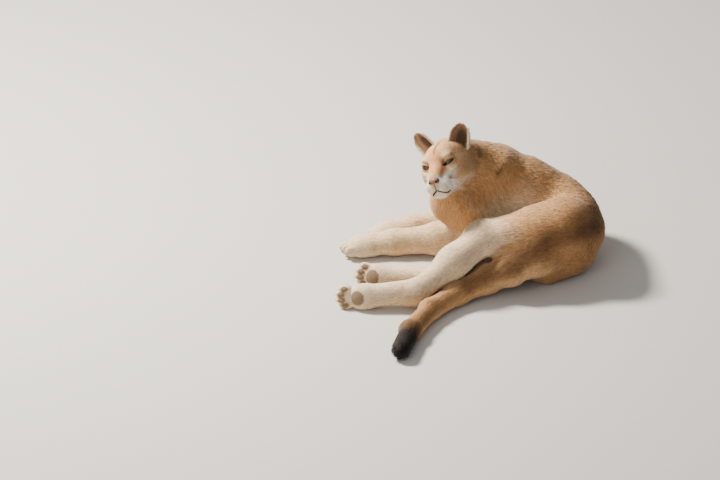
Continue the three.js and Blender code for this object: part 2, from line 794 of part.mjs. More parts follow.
const lips = [];
const mouth = [];
for (const s of [1, -1]) {
  lips.push(tube(lipLine(s, -0.45), [2.2, 4.2], 6, 7));
  lips.push(tube(lipLine(s, 0.45), [2.0, 3.4], 6, 7));
  mouth.push(tube(lipLine(s, 0), [1.6, 3.0], 5, 7));
}
taken.push(...mouth);

// Head and ears

const LID_FOLDS = [0.3, 0.72, -0.26, -0.66];
const lids = LID_FOLDS.flatMap((rise) => [lid(1, rise), lid(-1, rise)]);
for (const [side, s] of [['left', 1], ['right', -1]]) {
  const piece = part(head, CELL.head, { blocks: [cuts.head, earBlock(s)], extra: [ear(s)] });
  show(`ear_${side}`, piece, finish.face);
}
const onFace = [...lids, ...lips, ear(1), ear(-1)];
show('head', part(head, CELL.head, { blocks: [cuts.head], extra: onFace }), finish.face);

// Legs, from the paws up

const legNames = [
  ['foreLeft', FORE_LEFT, 'forepaw_left', 'forearm_left', 'shoulder_left'],
  ['foreRight', FORE_RIGHT, 'forepaw_right', 'forearm_right', 'shoulder_right'],
];
for (const [name, leg, pawName, lower, upper] of legNames) {
  const cones = [...legs[name].upper, ...legs[name].lower];
  show(pawName, part(cones, CELL.paw, { owner: name, blocks: [pawBlock(leg, 70)] }), finish.pale);
  const arm = lowerBlock(add(leg.elbow, [-38, 0, 0]), leg.wrist, 85, 420);
  show(lower, part(cones, CELL.limb, { owner: name, blocks: [arm] }), finish.leg);
  show(upper, part(cones, CELL.body, { owner: name }), finish.side);
}

const hindNames = [
  ['hindLeft', HIND_LEFT, 'hind_paw_left', 'hind_foot_left', 'shank_left', 'thigh_left'],
  ['hindRight', HIND_RIGHT, 'hind_paw_right', 'hind_foot_right', 'shank_right', 'thigh_right'],
];
for (const [name, leg, pawName, foot, lower, upper] of hindNames) {
  const cones = [...legs[name].upper, ...legs[name].lower];
  show(pawName, part(cones, CELL.paw, { owner: name, blocks: [pawBlock(leg, 70)] }), finish.pale);
  const below = block(add(leg.hock, [8, 0, 0]), unit(sub(leg.knuckle, leg.hock)), 75, 90, 320);
  show(foot, part(cones, CELL.limb, { owner: name, blocks: [below] }), finish.leg);
  const down = unit(sub(leg.calf, leg.knee));
  const shank = block(add(leg.knee, down, 8), down, 120, 120, 420);
  show(lower, part(cones, CELL.limb, { owner: name, blocks: [shank] }), finish.leg);
  show(upper, part(cones, CELL.body, { owner: name }), finish.side);
}

// Tail in three lengths

const ofTail = (start) => part(tail, CELL.tail, { owner: 'tail', blocks: [start] });
show('tail_tip', ofTail(tailBlock(4, 0.75, 60, 260)), finish.tip);
show('tail_middle', ofTail(tailBlock(2, 0.55, 70, 300)), finish.tail);
show('tail_root', ofTail(tailBlock(0, 0.35, 62, 170)), finish.tail);

// Neck, chest, loin and rump

const middle = [...trunk, ...neck];
show('neck', part(middle, CELL.body, { blocks: [cuts.neck] }), finish.side);
show('chest', part(middle, CELL.body, { blocks: [cuts.chest] }), finish.back);
show('loin', part(middle, CELL.body, { blocks: [cuts.loin] }), finish.back);
show('rump', part(middle, CELL.body, { blocks: [] }), finish.back);

// Origin: the middle of the box's bottom

cougar.updateMatrixWorld(true);
const whole = new THREE.Box3().setFromObject(cougar);
const centre = whole.getCenter(new THREE.Vector3());
cougar.position.set(-centre.x, -centre.y, -whole.min.z);

export default cougar;
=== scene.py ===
# %% [markdown]
# # A lying cougar
# The solid model gives a cougar's whole body in plain parted pieces. Here it gets one seamless skin, a coat
# of short fur in small tufts, real eyes, a nose, whiskers and foot pads. Everything is in metres, in the
# frame of the solid model, so nothing has to be fitted afterwards.

# %% Load the frame
import math

import bmesh
import bpy
import numpy as np
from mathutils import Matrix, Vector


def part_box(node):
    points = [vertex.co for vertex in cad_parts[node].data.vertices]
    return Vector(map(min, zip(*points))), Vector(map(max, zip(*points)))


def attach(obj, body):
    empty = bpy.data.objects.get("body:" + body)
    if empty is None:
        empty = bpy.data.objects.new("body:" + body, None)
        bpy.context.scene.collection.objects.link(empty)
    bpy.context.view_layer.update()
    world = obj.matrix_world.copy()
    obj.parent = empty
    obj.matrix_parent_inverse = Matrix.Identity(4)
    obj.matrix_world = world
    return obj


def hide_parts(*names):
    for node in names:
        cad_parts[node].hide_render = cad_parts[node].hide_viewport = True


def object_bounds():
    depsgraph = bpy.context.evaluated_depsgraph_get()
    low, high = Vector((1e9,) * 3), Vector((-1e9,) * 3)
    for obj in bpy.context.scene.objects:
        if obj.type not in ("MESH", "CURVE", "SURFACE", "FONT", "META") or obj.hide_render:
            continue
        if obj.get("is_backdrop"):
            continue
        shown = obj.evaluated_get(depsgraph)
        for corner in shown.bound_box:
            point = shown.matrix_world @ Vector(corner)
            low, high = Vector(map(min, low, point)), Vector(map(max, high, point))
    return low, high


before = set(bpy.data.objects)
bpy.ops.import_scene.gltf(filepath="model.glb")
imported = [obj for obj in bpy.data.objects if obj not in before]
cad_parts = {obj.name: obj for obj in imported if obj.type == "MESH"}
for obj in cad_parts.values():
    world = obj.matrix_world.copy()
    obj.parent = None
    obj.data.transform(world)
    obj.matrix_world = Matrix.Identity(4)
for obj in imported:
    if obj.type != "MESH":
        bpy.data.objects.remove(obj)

CAD_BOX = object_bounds()
print("nodes:", len(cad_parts))

# %% [markdown]
# ## Where things are
# A skeleton sets where everything on an animal is. Its joints are the same driving places that the solids
# were made from. They could be read from the solids' boxes, but a box doesn't say where the joint inside it
# is, so they are written again, in the animal's own frame.

# %% The skeleton
def place(x, y, z):
    return np.array([x, y, z], float)


def unit(v):
    v = np.asarray(v, float)
    return v / np.maximum(np.linalg.norm(v, axis=-1, keepdims=True), 1e-12)


def joints(**places):
    return {name: place(*at) for name, at in places.items()}


SPINE = joints(
    sacrum=(0.140, -0.035, 0.100), pelvis=(0.195, 0.012, 0.112), loin_start=(0.262, 0.048, 0.118),
    loin_bend=(0.282, 0.102, 0.108), loin_end=(0.262, 0.165, 0.106), last_rib=(0.212, 0.208, 0.106),
    mid_rib=(0.130, 0.218, 0.126), fore_rib=(0.052, 0.210, 0.136), breast=(0.005, 0.200, 0.134),
    neck_base=(0.048, 0.200, 0.214), neck_top=(-0.038, 0.152, 0.272))
JOINTS = {
    "fore_left": joints(
        blade=(0.075, 0.158, 0.238), shoulder=(-0.038, 0.140, 0.172), elbow=(0.050, 0.156, 0.055),
        mid=(-0.080, 0.157, 0.046), wrist=(-0.200, 0.154, 0.037), knuckle=(-0.290, 0.145, 0.030),
        toes=(-0.328, 0.139, 0.026)),
    "fore_right": joints(
        blade=(0.085, 0.258, 0.218), shoulder=(-0.030, 0.275, 0.158), elbow=(0.075, 0.288, 0.050),
        mid=(-0.040, 0.262, 0.045), wrist=(-0.150, 0.240, 0.038), knuckle=(-0.225, 0.224, 0.031),
        toes=(-0.255, 0.217, 0.028)),
    "hind_right": joints(
        hip=(0.258, 0.052, 0.052), ham=(0.205, -0.002, 0.043), knee=(0.085, 0.046, 0.042),
        calf=(-0.010, -0.010, 0.039), hock=(-0.112, -0.060, 0.032), knuckle=(-0.250, -0.050, 0.036),
        toes=(-0.290, -0.046, 0.042)),
    "hind_left": joints(
        hip=(0.240, 0.018, 0.150), ham=(0.175, -0.045, 0.110), knee=(0.038, -0.028, 0.142),
        calf=(-0.045, -0.092, 0.105), hock=(-0.142, -0.160, 0.050), knuckle=(-0.290, -0.163, 0.034),
        toes=(-0.342, -0.160, 0.032)),
}
TAIL = [(place(*at), radius) for at, radius in (
    ((0.165, -0.060, 0.106), 0.048), ((0.108, -0.086, 0.080), 0.044), ((0.046, -0.092, 0.052), 0.038),
    ((-0.036, -0.142, 0.033), 0.031), ((-0.108, -0.224, 0.027), 0.028), ((-0.162, -0.345, 0.027), 0.028),
    ((-0.188, -0.458, 0.028), 0.027))]
print("joints:", len(SPINE) + sum(len(leg) for leg in JOINTS.values()) + len(TAIL))

# %% [markdown]
# ## The head's own frame
# The head is turned, nodded and tipped, so its shapes are easier to write in a frame of its own: x to the
# nose, y to the left ear, z to the crown, in units of a little under a centimetre. The eye's solid gives the
# shift from the animal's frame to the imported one.

# %% Turn the head
UNIT = 0.0093
HEAD_AT = place(-0.065, 0.092, 0.300)
YAW, PITCH, ROLL = math.radians(248), math.radians(14), math.radians(23)
FRONT = place(math.cos(YAW) * math.cos(PITCH), math.sin(YAW) * math.cos(PITCH), math.sin(PITCH))
LEVEL = unit(np.cross([0, 0, 1], FRONT))
LEFT = LEVEL * math.cos(ROLL) + np.cross(FRONT, LEVEL) * math.sin(ROLL)
UP = np.cross(FRONT, LEFT)
TURN = np.stack([FRONT, LEFT, UP])
EYE_RADIUS = 0.017
EYE_IN_HEAD = (4.95, 3.15, 1.40)


def turn(x, y, z):
    return place(x, y, z) @ TURN


def on_head(x, y, z):
    return HEAD_AT + turn(x * UNIT, y * UNIT, z * UNIT)


def head_coords(p):
    return ((p - HEAD_AT) @ TURN.T) / UNIT


low, high = (np.array(c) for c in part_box("eye_left"))
SHIFT = (low + high) / 2 - on_head(*EYE_IN_HEAD)
SHIFT[2] = 0.0
print("shift into the packed frame:", SHIFT.round(4))

# %% [markdown]
# ## A body as a smooth field
# Muscle laid on bone is close to a set of rounded cones that melt into one another. They could be sculpted
# by hand or joined as meshes. A field, which gives each point of space its distance to them, is chosen
# because it bends to any pose and leaves no seam: the skin is where it is nought.

# %% Rounded cones and eggs
def cone(a, b, ra, rb, up=(0, 0, 1), wide=1.0, high=1.0, soft=0.025, flow=1):
    along = b - a
    length = float(np.linalg.norm(along))
    w = along / length
    u = unit(np.cross(up, w))
    return dict(a=a, w=w, u=u, v=np.cross(w, u), ra=ra, rb=rb, wide=wide, high=high, soft=soft,
                length=length, flow=w * flow)


def egg(at, axis, up, long, wide, high, soft=0.025, flow=1):
    w = unit(axis)
    u = unit(np.cross(up, w))
    return dict(a=at, w=w, u=u, v=np.cross(w, u), ra=long, rb=long, wide=wide / long, high=high / long,
                soft=soft, length=0.0, flow=w * flow)


def distance(c, p):
    q = p - c["a"]
    along = q @ c["w"]
    side = (q @ c["u"]) / c["wide"]
    rise = (q @ c["v"]) / c["high"]
    t = np.clip(along / c["length"], 0, 1) if c["length"] > 0 else np.zeros(len(p))
    rest = along - t * c["length"]
    far = np.sqrt(side * side + rise * rise + rest * rest) + 1e-9
    slope = np.sqrt((side / c["wide"]) ** 2 + (rise / c["high"]) ** 2 + rest * rest) / far
    return (far - (c["ra"] + (c["rb"] - c["ra"]) * t)) / slope


def blend(a, b, k):
    h = np.maximum(k - np.abs(a - b), 0) / k
    return np.minimum(a, b) - h * h * k / 4


def carve(a, b, k):
    return -blend(-a, b, k)


def melt(cones, p):
    d = distance(cones[0], p)
    for c in cones[1:]:
        d = blend(d, distance(c, p), c["soft"])
    return d


# %% Trunk, neck and tail
RUMP_BACK = unit([0.56, -0.71, 0.42])  # the rump lies on its side, so the back faces out and down
LOIN_BACK = unit([0.85, -0.25, 0.45])
RIB_BACK = (0.1, 0, 1)  # the chest stands upright
BODY_SOFT, TAIL_SOFT = 0.040, 0.020
SPANS = [  # from, to, the radius at each, where the back faces, width and height
    ("sacrum", "pelvis", 0.058, 0.080, RUMP_BACK, 1.0, 0.85),
    ("pelvis", "loin_start", 0.082, 0.084, RUMP_BACK, 1.05, 0.88),
    ("loin_start", "loin_bend", 0.080, 0.072, LOIN_BACK, 1.0, 0.92),
    ("loin_bend", "loin_end", 0.072, 0.078, LOIN_BACK, 1.05, 0.98),
    ("loin_end", "last_rib", 0.078, 0.092, RIB_BACK, 0.98, 1.06),
    ("last_rib", "mid_rib", 0.092, 0.102, RIB_BACK, 0.96, 1.16),
    ("mid_rib", "fore_rib", 0.104, 0.094, RIB_BACK, 0.94, 1.26),
    ("fore_rib", "breast", 0.092, 0.072, RIB_BACK, 0.94, 1.26),
]
tail = [cone(a, b, ra, rb, soft=TAIL_SOFT) for (a, ra), (b, rb) in zip(TAIL, TAIL[1:])]
trunk = [cone(SPINE[a], SPINE[b], ra, rb, back, wide, high, BODY_SOFT, -1)
         for a, b, ra, rb, back, wide, high in SPANS]
trunk.append(dict(tail[0], soft=BODY_SOFT))
throat_top = SPINE["neck_top"] + place(0, -0.010, -0.045)
neck = [
    cone(SPINE["neck_base"], SPINE["neck_top"], 0.092, 0.076, (0, 0, 1), 0.92, 1.0, BODY_SOFT, -1),
    cone(SPINE["breast"], throat_top, 0.066, 0.055, (1, 0, 0), soft=BODY_SOFT, flow=-1),
]
print("cones in trunk, neck and tail:", len(trunk), len(neck), len(tail))

# %% [markdown]
# ## The head
# A cougar's head is short and round, with a broad square muzzle, wide cheeks and deep-set eyes under a low
# brow. A sculpted mesh could follow it closely, but a dozen eggs and cones in the head's own units already
# give its planes, and each can be moved by itself until the face is right.

# %% The head's big shapes
SIDES = (1, -1)


def head_egg(x, y, z, long, wide, high, soft=2.5):
    return egg(on_head(x, y, z), FRONT, UP, long * UNIT, wide * UNIT, high * UNIT, soft * UNIT, flow=-1)


def head_cone(p, q, rp, rq, wide=1.0, high=1.0, soft=2.2):
    return cone(on_head(*p), on_head(*q), rp * UNIT, rq * UNIT, UP, wide, high, soft * UNIT, flow=-1)


head = [
    head_egg(-1.2, 0, 1.9, 7.2, 5.9, 5.1),  # braincase
    head_egg(3.6, 0, 2.7, 4.4, 4.3, 3.2),  # forehead
    *[head_egg(2.2, s * 4.3, -1.4, 4.4, 2.6, 3.5) for s in SIDES],  # cheekbones
    *[head_egg(-1.2, s * 3.9, -2.0, 4.2, 2.7, 3.4) for s in SIDES],  # jaw muscles
    head_cone((4.0, 0, -2.0), (9.7, 0, -3.7), 4.1, 3.1, 1.1, 0.98),  # muzzle
    head_cone((4.6, 0, 1.6), (11.2, 0, -1.3), 2.4, 1.5, 1.15, 1.0, 1.7),  # bridge of the nose
    *[head_egg(9.6, s * 1.85, -4.5, 2.5, 2.0, 2.2, 1.0) for s in SIDES],  # whisker pads
    head_cone((2.2, 0, -4.6), (8.9, 0, -6.6), 3.1, 1.95, 1.3, 0.95),  # lower jaw and chin
    *[head_egg(5.3, s * 3.1, 3.2, 1.9, 1.6, 1.1, 1.2) for s in SIDES],  # brows
]
orbits = [head_egg(7.2, s * 4.0, 1.45, 1.6, 1.6, 1.05) for s in SIDES]
ORBIT_SOFT = 0.008


def head_field(p):
    d = melt(head, p)
    for hollow in orbits:
        d = carve(d, distance(hollow, p), ORBIT_SOFT)
    return d


print("shapes in the head:", len(head), "and hollows:", len(orbits))

# %% [markdown]
# ## The legs
# A foreleg is the shoulder blade, upper arm and forearm, and a hind leg is the thigh, shank and long foot.
# A paw is a broad pad with four toes set side by side. The hind paws lie on their edges, soles to the viewer.
# All four legs come from two functions, so a change to one shows on its fellow.

# %% Paws
FORE_PAW, HIND_PAW = 0.036, 0.035
TOE_SPREAD = (-0.78, -0.27, 0.27, 0.78)
TOE_REACH = (0.0, 0.3, 0.3, 0.05)
ACROSS = {"fore_left": (0, 1, 0), "fore_right": (0, 1, 0),
          "hind_right": (0, 0.3, 1), "hind_left": (0, 0.25, 1)}


def paw_frame(name):
    leg = JOINTS[name]
    forward = unit(leg["toes"] - leg["knuckle"])
    side = unit(np.cross(np.cross(forward, ACROSS[name]), forward))
    return forward, side, unit(np.cross(forward, side))


def toe_places(name, size):
    forward, side, _ = paw_frame(name)
    return [JOINTS[name]["toes"] + side * (s * size * 0.82) + forward * ((r - 0.25) * size)
            for s, r in zip(TOE_SPREAD, TOE_REACH)]


def paw(name, size):
    forward, _, top = paw_frame(name)
    palm = egg(JOINTS[name]["knuckle"], forward, top, size * 1.2, size * 0.98, size * 0.68, size * 0.6)
    return [palm, *[egg(at, forward, top, size * 0.62, size * 0.36, size * 0.5, size * 0.12)
                    for at in toe_places(name, size)]]


# %% Legs
OUT = {"fore_left": (0, -1, 0.15), "fore_right": (0, 1, 0.15),
       "hind_right": unit([0.2, -0.3, -0.9]), "hind_left": unit([-0.26, 0.33, 0.91])}


def fore_leg(name):
    leg, out = JOINTS[name], OUT[name]
    return dict(
        upper=[cone(leg["blade"], leg["shoulder"], 0.048, 0.060, out, 1.15, 0.72, 0.045),
               cone(leg["shoulder"], leg["elbow"], 0.060, 0.050, out, 1.1, 0.8, 0.040)],
        lower=[cone(leg["elbow"], leg["mid"], 0.049, 0.043, soft=0.030),
               cone(leg["mid"], leg["wrist"], 0.042, 0.034, wide=1.0, high=1.02, soft=0.025),
               cone(leg["wrist"], leg["knuckle"], 0.034, 0.032, wide=1.06, high=0.95, soft=0.020),
               *paw(name, FORE_PAW)])


def hind_leg(name, girth):
    leg, out = JOINTS[name], OUT[name]
    return dict(
        upper=[cone(leg["hip"], leg["knee"], 0.088 * girth, 0.052 * girth, out, 1.12, 0.86, 0.040),
               cone(leg["ham"], leg["knee"], 0.066 * girth, 0.040 * girth, out, 1.0, 0.9, 0.040)],
        lower=[cone(leg["knee"], leg["calf"], 0.052 * girth, 0.043 * girth, out, 1.12, 0.9, 0.030),
               cone(leg["calf"], leg["hock"], 0.042 * girth, 0.031, out, 1.08, 0.92, 0.030),
               cone(leg["hock"], leg["knuckle"], 0.033, 0.029, ACROSS[name], 0.95, 1.05, 0.020),
               *paw(name, HIND_PAW)])


PRESSED = 0.8  # the right thigh is pressed thin under the body's weight
LEGS = {"fore_left": fore_leg("fore_left"), "fore_right": fore_leg("fore_right"),
        "hind_right": hind_leg("hind_right", PRESSED), "hind_left": hind_leg("hind_left", 1)}
HEAD_JOIN, UPPER_JOIN, TAIL_JOIN, LOWER_JOIN = 0.030, 0.032, 0.010, 0.014


def body_field(p):
    d = blend(melt(trunk + neck, p), head_field(p), HEAD_JOIN)
    for leg in LEGS.values():
        d = blend(d, melt(leg["upper"], p), UPPER_JOIN)
    d = blend(d, melt(tail, p), TAIL_JOIN)
    for leg in LEGS.values():
        d = blend(d, melt(leg["lower"], p), LOWER_JOIN)
    return d


print("shapes in a foreleg and a hind leg:", *[sum(len(half) for half in LEGS[n].values())
                                                for n in ("fore_left", "hind_left")])

# %% [markdown]
# ## How deep the coat is
# The solids reach to the outer surface of the fur, and the skin lies under it by the coat's depth: most on
# the neck, body and tail, least on the face and feet. One depth for all would be simpler, but it would bury
# the eyes or leave the neck bare, so each part has its own and they fade into one another.

# %% Parts, and the coat's depth over them
GROUPS = {"trunk": trunk, "neck": neck, "head": head, "tail": tail}
for name, leg in LEGS.items():
    for half in ("upper", "lower"):
        GROUPS[name + "_" + half] = leg[half]
COAT_DEPTH = {"trunk": 0.0060, "neck": 0.0065, "head": 0.0022, "tail": 0.0055,
              "upper": 0.0050, "lower": 0.0030}


def kind_of(name):
    return name.rsplit("_", 1)[-1]


def shares(p, fade=0.012):
    d = np.stack([melt(group, p) for group in GROUPS.values()])
    w = np.exp(-(d - d.min(0)) / fade)
    return dict(zip(GROUPS, w / w.sum(0)))


def under_coat(p):
    w = shares(p)
    return body_field(p) + sum(w[name] * COAT_DEPTH[kind_of(name)] for name in w)


print("parts:", *GROUPS)

# %% [markdown]
# ## Lids, lips and the mouth's furrow
# The features of a face are a few millimetres deep. They could be drawn as dark paint, but then they would
# vanish from the side, so they go into the field after the coat's depth is taken off. Lids are a thin shell
# round the eyeball with a lens-shaped opening, and the mouth is a thin furrow drawn onto the muzzle.

# %% The eyes' own frames
LENS_HALF, LENS_UP, LENS_DOWN = 1.50, 0.44, 0.38
LENS_OUT, LENS_FRONT = 0.08, 0.6


def eye_frame(s):
    gaze = unit(turn(1.0, 0.36 * s, 0.0))
    outward = turn(-0.42, 0.86 * s, 0.33)
    outward = unit(outward - gaze * (outward @ gaze))
    rise = np.cross(gaze, outward) * s
    return on_head(EYE_IN_HEAD[0], s * EYE_IN_HEAD[1], EYE_IN_HEAD[2]), gaze, outward, rise


def lens(p, s):
    at, gaze, outward, rise = eye_frame(s)
    q = (p - at) / UNIT
    across, up, depth = q @ outward, q @ rise, q @ gaze
    sides = []
    for half, way in ((LENS_UP, 1), (LENS_DOWN, -1)):
        r = (LENS_HALF ** 2 + half ** 2) / (2 * half)
        sides.append(np.hypot(across + LENS_OUT, up + way * (r - half)) - r)
    return np.maximum(np.maximum(*sides), LENS_FRONT - depth) * UNIT


# %% The line of the mouth
MOUTH = [(12.0, 0.05, -5.3), (11.4, 1.4, -6.15), (10.4, 2.3, -6.55), (9.2, 3.1, -6.45)]
PHILTRUM = [(12.6, 0, -3.3), (12.4, 0, -4.4), (12.0, 0, -5.3)]
MOUTH_POINTS = 15


def polyline_distance(p, knots):
    best = np.full(len(p), 1e9)
    for a, b in zip(knots, knots[1:]):
        t = np.clip(((p - a) @ (b - a)) / ((b - a) @ (b - a)), 0, 1)
        best = np.minimum(best, np.linalg.norm(p - a - t[:, None] * (b - a), axis=1))
    return best


def onto(field, p, turns=3, most=0.004):
    p = p.copy()
    e = 0.0004
    for _ in range(turns):
        d = field(p)
        slope = np.stack([field(p + e * np.eye(3)[m]) - d for m in range(3)], 1) / e
        steep = np.maximum((slope * slope).sum(1), 0.25)
        p -= slope * np.clip(d / steep, -most, most)[:, None]
    return p


mouth_lines = []
for s in SIDES:
    knots = np.array([on_head(x, s * y, z) for x, y, z in MOUTH])
    t = np.linspace(0, len(knots) - 1, MOUTH_POINTS)
    fine = np.stack([np.interp(t, range(len(knots)), knots[:, m]) for m in range(3)], 1)
    mouth_lines.append(onto(under_coat, fine, 8, 0.01))
philtrum = onto(under_coat, np.array([on_head(*at) for at in PHILTRUM]), 8, 0.01)
print("mouth runs", [round(float(np.linalg.norm(np.diff(m, axis=0), axis=1).sum()), 4) for m in mouth_lines])

# %% The field of the skin
NOSE_AT = on_head(12.0, 0, -2.35)
HEAD_REACH = 0.17
LID_THICK, LID_SOFT, LID_EDGE = 0.0021, 0.0045, 0.0012
LIP_DEEP, LIP_SOFT = 0.0016, 0.0030
PHILTRUM_DEEP, PHILTRUM_SOFT = 0.0008, 0.0025


def skin_field(p):
    d = under_coat(p)
    near = np.linalg.norm(p - HEAD_AT, axis=1) < HEAD_REACH
    if near.any():
        q = p[near]
        e = d[near]
        for s in SIDES:
            shell = np.linalg.norm(q - eye_frame(s)[0], axis=1) - (EYE_RADIUS + LID_THICK)
            e = blend(e, shell, LID_SOFT)
            e = carve(e, lens(q, s), LID_EDGE)
        for line in mouth_lines:
            e = carve(e, polyline_distance(q, line) - LIP_DEEP, LIP_SOFT)
        d[near] = carve(e, polyline_distance(q, philtrum) - PHILTRUM_DEEP, PHILTRUM_SOFT)
    return d


# %% [markdown]
# ## Meshing the field
# A mesh needs points and faces. Metaballs or a volume remesh could turn a field into one, but neither takes
# a field of one's own. Here a grid of cubes is laid over it: each cube that the surface crosses gets one
# point, and neighbours are joined by squares. Only cubes near the surface are worked out, so it stays quick.

# %% Surface of a field
CORNERS = np.array([[k & 1, (k >> 1) & 1, k >> 2] for k in range(8)])
EDGES = [(p, p | b) for p in range(8) for b in (1, 2, 4) if not p & b]


def sampled(field, low, n, cell, stride):
    """The field on a grid: coarsely everywhere, and finely near the surface."""
    axes = [low[m] + np.arange(n[m])[::stride] * cell for m in range(3)]
    grid = np.stack(np.meshgrid(*axes, indexing="ij"), -1).reshape(-1, 3)
    value = field(grid).reshape([len(a) for a in axes])
    for m in range(3):
        value = np.repeat(value, stride, m)
    value = value[:n[0], :n[1], :n[2]].copy()
    band = np.abs(value) < cell * stride * 1.9
    value[band] = field(low + np.argwhere(band) * cell)
    for m in range(3):
        rim = [slice(None)] * 3
        for end in (0, -1):
            rim[m] = end
            value[tuple(rim)] = np.maximum(value[tuple(rim)], cell / 4)
    return value


def net(field, low, high, cell, stride=3):
    """Points and squares of the surface where the field is nought."""
    low = np.asarray(low)
    n = np.ceil((np.asarray(high) - low) / cell / stride).astype(int) * stride + 1
    value = sampled(field, low, n, cell, stride)
    inside = value < 0
    mixed = np.zeros(n - 1, int)
    for c in CORNERS:
        mixed += inside[c[0]:n[0] - 1 + c[0], c[1]:n[1] - 1 + c[1], c[2]:n[2] - 1 + c[2]]
    cells = np.argwhere((mixed > 0) & (mixed < 8))
    v = np.stack([value[tuple((cells + c).T)] for c in CORNERS], 1)
    total = np.zeros((len(cells), 3))
    count = np.zeros(len(cells))
    for p, q in EDGES:
        cut = (v[:, p] < 0) != (v[:, q] < 0)
        t = np.where(cut, v[:, p] / np.where(cut, v[:, p] - v[:, q], 1), 0)
        total += cut[:, None] * (CORNERS[p] + t[:, None] * (CORNERS[q] - CORNERS[p]))
        count += cut
    points = low + (cells + total / count[:, None]) * cell
    slot = np.full(n - 1, -1)
    slot[tuple(cells.T)] = np.arange(len(cells))
    step = np.eye(3, dtype=int)
    quads = []
    for m in range(3):
        s, t = (m + 1) % 3, (m + 2) % 3
        here = [slice(0, n[k] - 1) for k in range(3)]
        beyond = list(here)
        beyond[m] = slice(1, n[m])
        crossing = np.argwhere(inside[tuple(here)] != inside[tuple(beyond)])
        crossing = crossing[(crossing[:, s] > 0) & (crossing[:, t] > 0)]
        ring = np.stack([slot[tuple((crossing - x).T)]
                         for x in (step[s] + step[t], step[t], 0 * step[s], step[s])], 1)
        flip = ~inside[tuple(crossing.T)]
        ring[flip] = ring[flip][:, ::-1]
        quads.append(ring)
    return points, np.concatenate(quads)


# %% A piece from arrays
def add_object(name, data):
    made = bpy.data.objects.new(name, data)
    bpy.context.scene.collection.objects.link(made)
    return made


def new_piece(name, points, faces):
    mesh = bpy.data.meshes.new(name)
    mesh.vertices.add(len(points))
    mesh.vertices.foreach_set("co", (points + SHIFT).astype(np.float32).ravel())
    mesh.loops.add(faces.size)
    mesh.loops.foreach_set("vertex_index", faces.astype(np.int32).ravel())
    mesh.polygons.add(len(faces))
    mesh.polygons.foreach_set("loop_start", np.arange(0, faces.size, faces.shape[1], dtype=np.int32))
    mesh.update(calc_edges=True)
    mesh.polygons.foreach_set("use_smooth", np.ones(len(faces), bool))
    return add_object(name, mesh)


# %% [markdown]
# ## One skin
# The whole body is meshed once, coarsely. A grid fine enough for the lids would be far too heavy for the
# flanks, so only the paws are split once and the face two and three times. After each split the new points
# are drawn onto the field, and one skin carries lids, lips and toes.

# %% Which zones are split
def face_zone(p):
    q = head_coords(p)
    near = (q[:, 0] > 6.2) & (np.abs(q[:, 1]) < 5.2) & (q[:, 2] < 0.8) & (q[:, 2] > -8)
    for s in SIDES:
        near |= np.linalg.norm(q - (6.4, s * 3.9, 1.5), axis=1) < 2.6
    return near & (np.linalg.norm(q, axis=1) < 17)


def head_zone(p):
    q = head_coords(p)
    return (q[:, 0] > -3.5) & (np.linalg.norm(q - (3, 0, -1), axis=1) < 12)


def paw_zone(p):
    near = np.zeros(len(p), bool)
    for leg in JOINTS.values():
        near |= np.linalg.norm(p - (leg["knuckle"] * 0.4 + leg["toes"] * 0.6), axis=1) < 0.062
    return near


# %% Make the skin
SKIN_CELL, SKIN_MARGIN, UNDER_FLOOR = 0.008, 0.10, 0.011


def on_floor(p):
    return np.maximum(skin_field(p), -p[:, 2])


def co_of(bm):
    return np.array([v.co for v in bm.verts]) - SHIFT


def draw_on(bm, chosen):
    moved = onto(on_floor, co_of(bm)[chosen], 3, 0.003)
    moved[:, 2] = np.maximum(moved[:, 2], 0)
    bm.verts.ensure_lookup_table()
    for i, q in zip(np.flatnonzero(chosen), moved + SHIFT):
        bm.verts[i].co = q


def split(bm, zone):
    chosen = zone(co_of(bm))
    bm.verts.ensure_lookup_table()
    bm.edges.ensure_lookup_table()
    edges = [e for e in bm.edges if chosen[e.verts[0].index] and chosen[e.verts[1].index]]
    bmesh.ops.subdivide_edges(bm, edges=edges, cuts=1, use_grid_fill=True)
    bm.verts.index_update()
    draw_on(bm, zone(co_of(bm)))


cones = [c for group in GROUPS.values() for c in group]
ends = np.concatenate([[c["a"], c["a"] + c["w"] * c["length"]] for c in cones])
box_low, box_high = ends.min(0) - SKIN_MARGIN, ends.max(0) + SKIN_MARGIN
box_low[2] = -UNDER_FLOOR
skin = new_piece("skin", *net(on_floor, box_low, box_high, SKIN_CELL))
print("skin starts with", len(skin.data.vertices), "points and", len(skin.data.polygons), "squares")
bm = bmesh.new()
bm.from_mesh(skin.data)
draw_on(bm, np.ones(len(bm.verts), bool))
for zone in (lambda p: head_zone(p) | paw_zone(p), head_zone, face_zone):
    split(bm, zone)
bmesh.ops.triangulate(bm, faces=[f for f in bm.faces if len(f.verts) > 4])
bmesh.ops.recalc_face_normals(bm, faces=bm.faces)
bm.to_mesh(skin.data)
bm.free()
skin.data.polygons.foreach_set("use_smooth", np.ones(len(skin.data.polygons), bool))
skin.data.update()
skin.data.calc_loop_triangles()
print("skin has", len(skin.data.vertices), "points and", len(skin.data.loop_triangles), "triangles")

# %% [markdown]
# ## Markings, with painted light and shade
# A cougar is one plain tawny colour above and cream below, darkest along the back and at the tail's tip. The
# muzzle, chin and insides of the legs are near white, with a dark patch behind the whiskers. A painted
# picture would need an unwrap without seams, so the coat's colour is worked out from the place instead. The
# skin and every tuft ask the same rule, at the place where the tuft is rooted, and so they always match.
# Some of it is painted light: shade in creases, on the rump, hip and deep in the ears, and pale lit thigh and
# leg tops.

# %% Tones
def tone(r, g, b):
    c = np.array([r, g, b]) / 255
    return np.where(c <= 0.04045, c / 12.92, ((c + 0.055) / 1.055) ** 2.4)


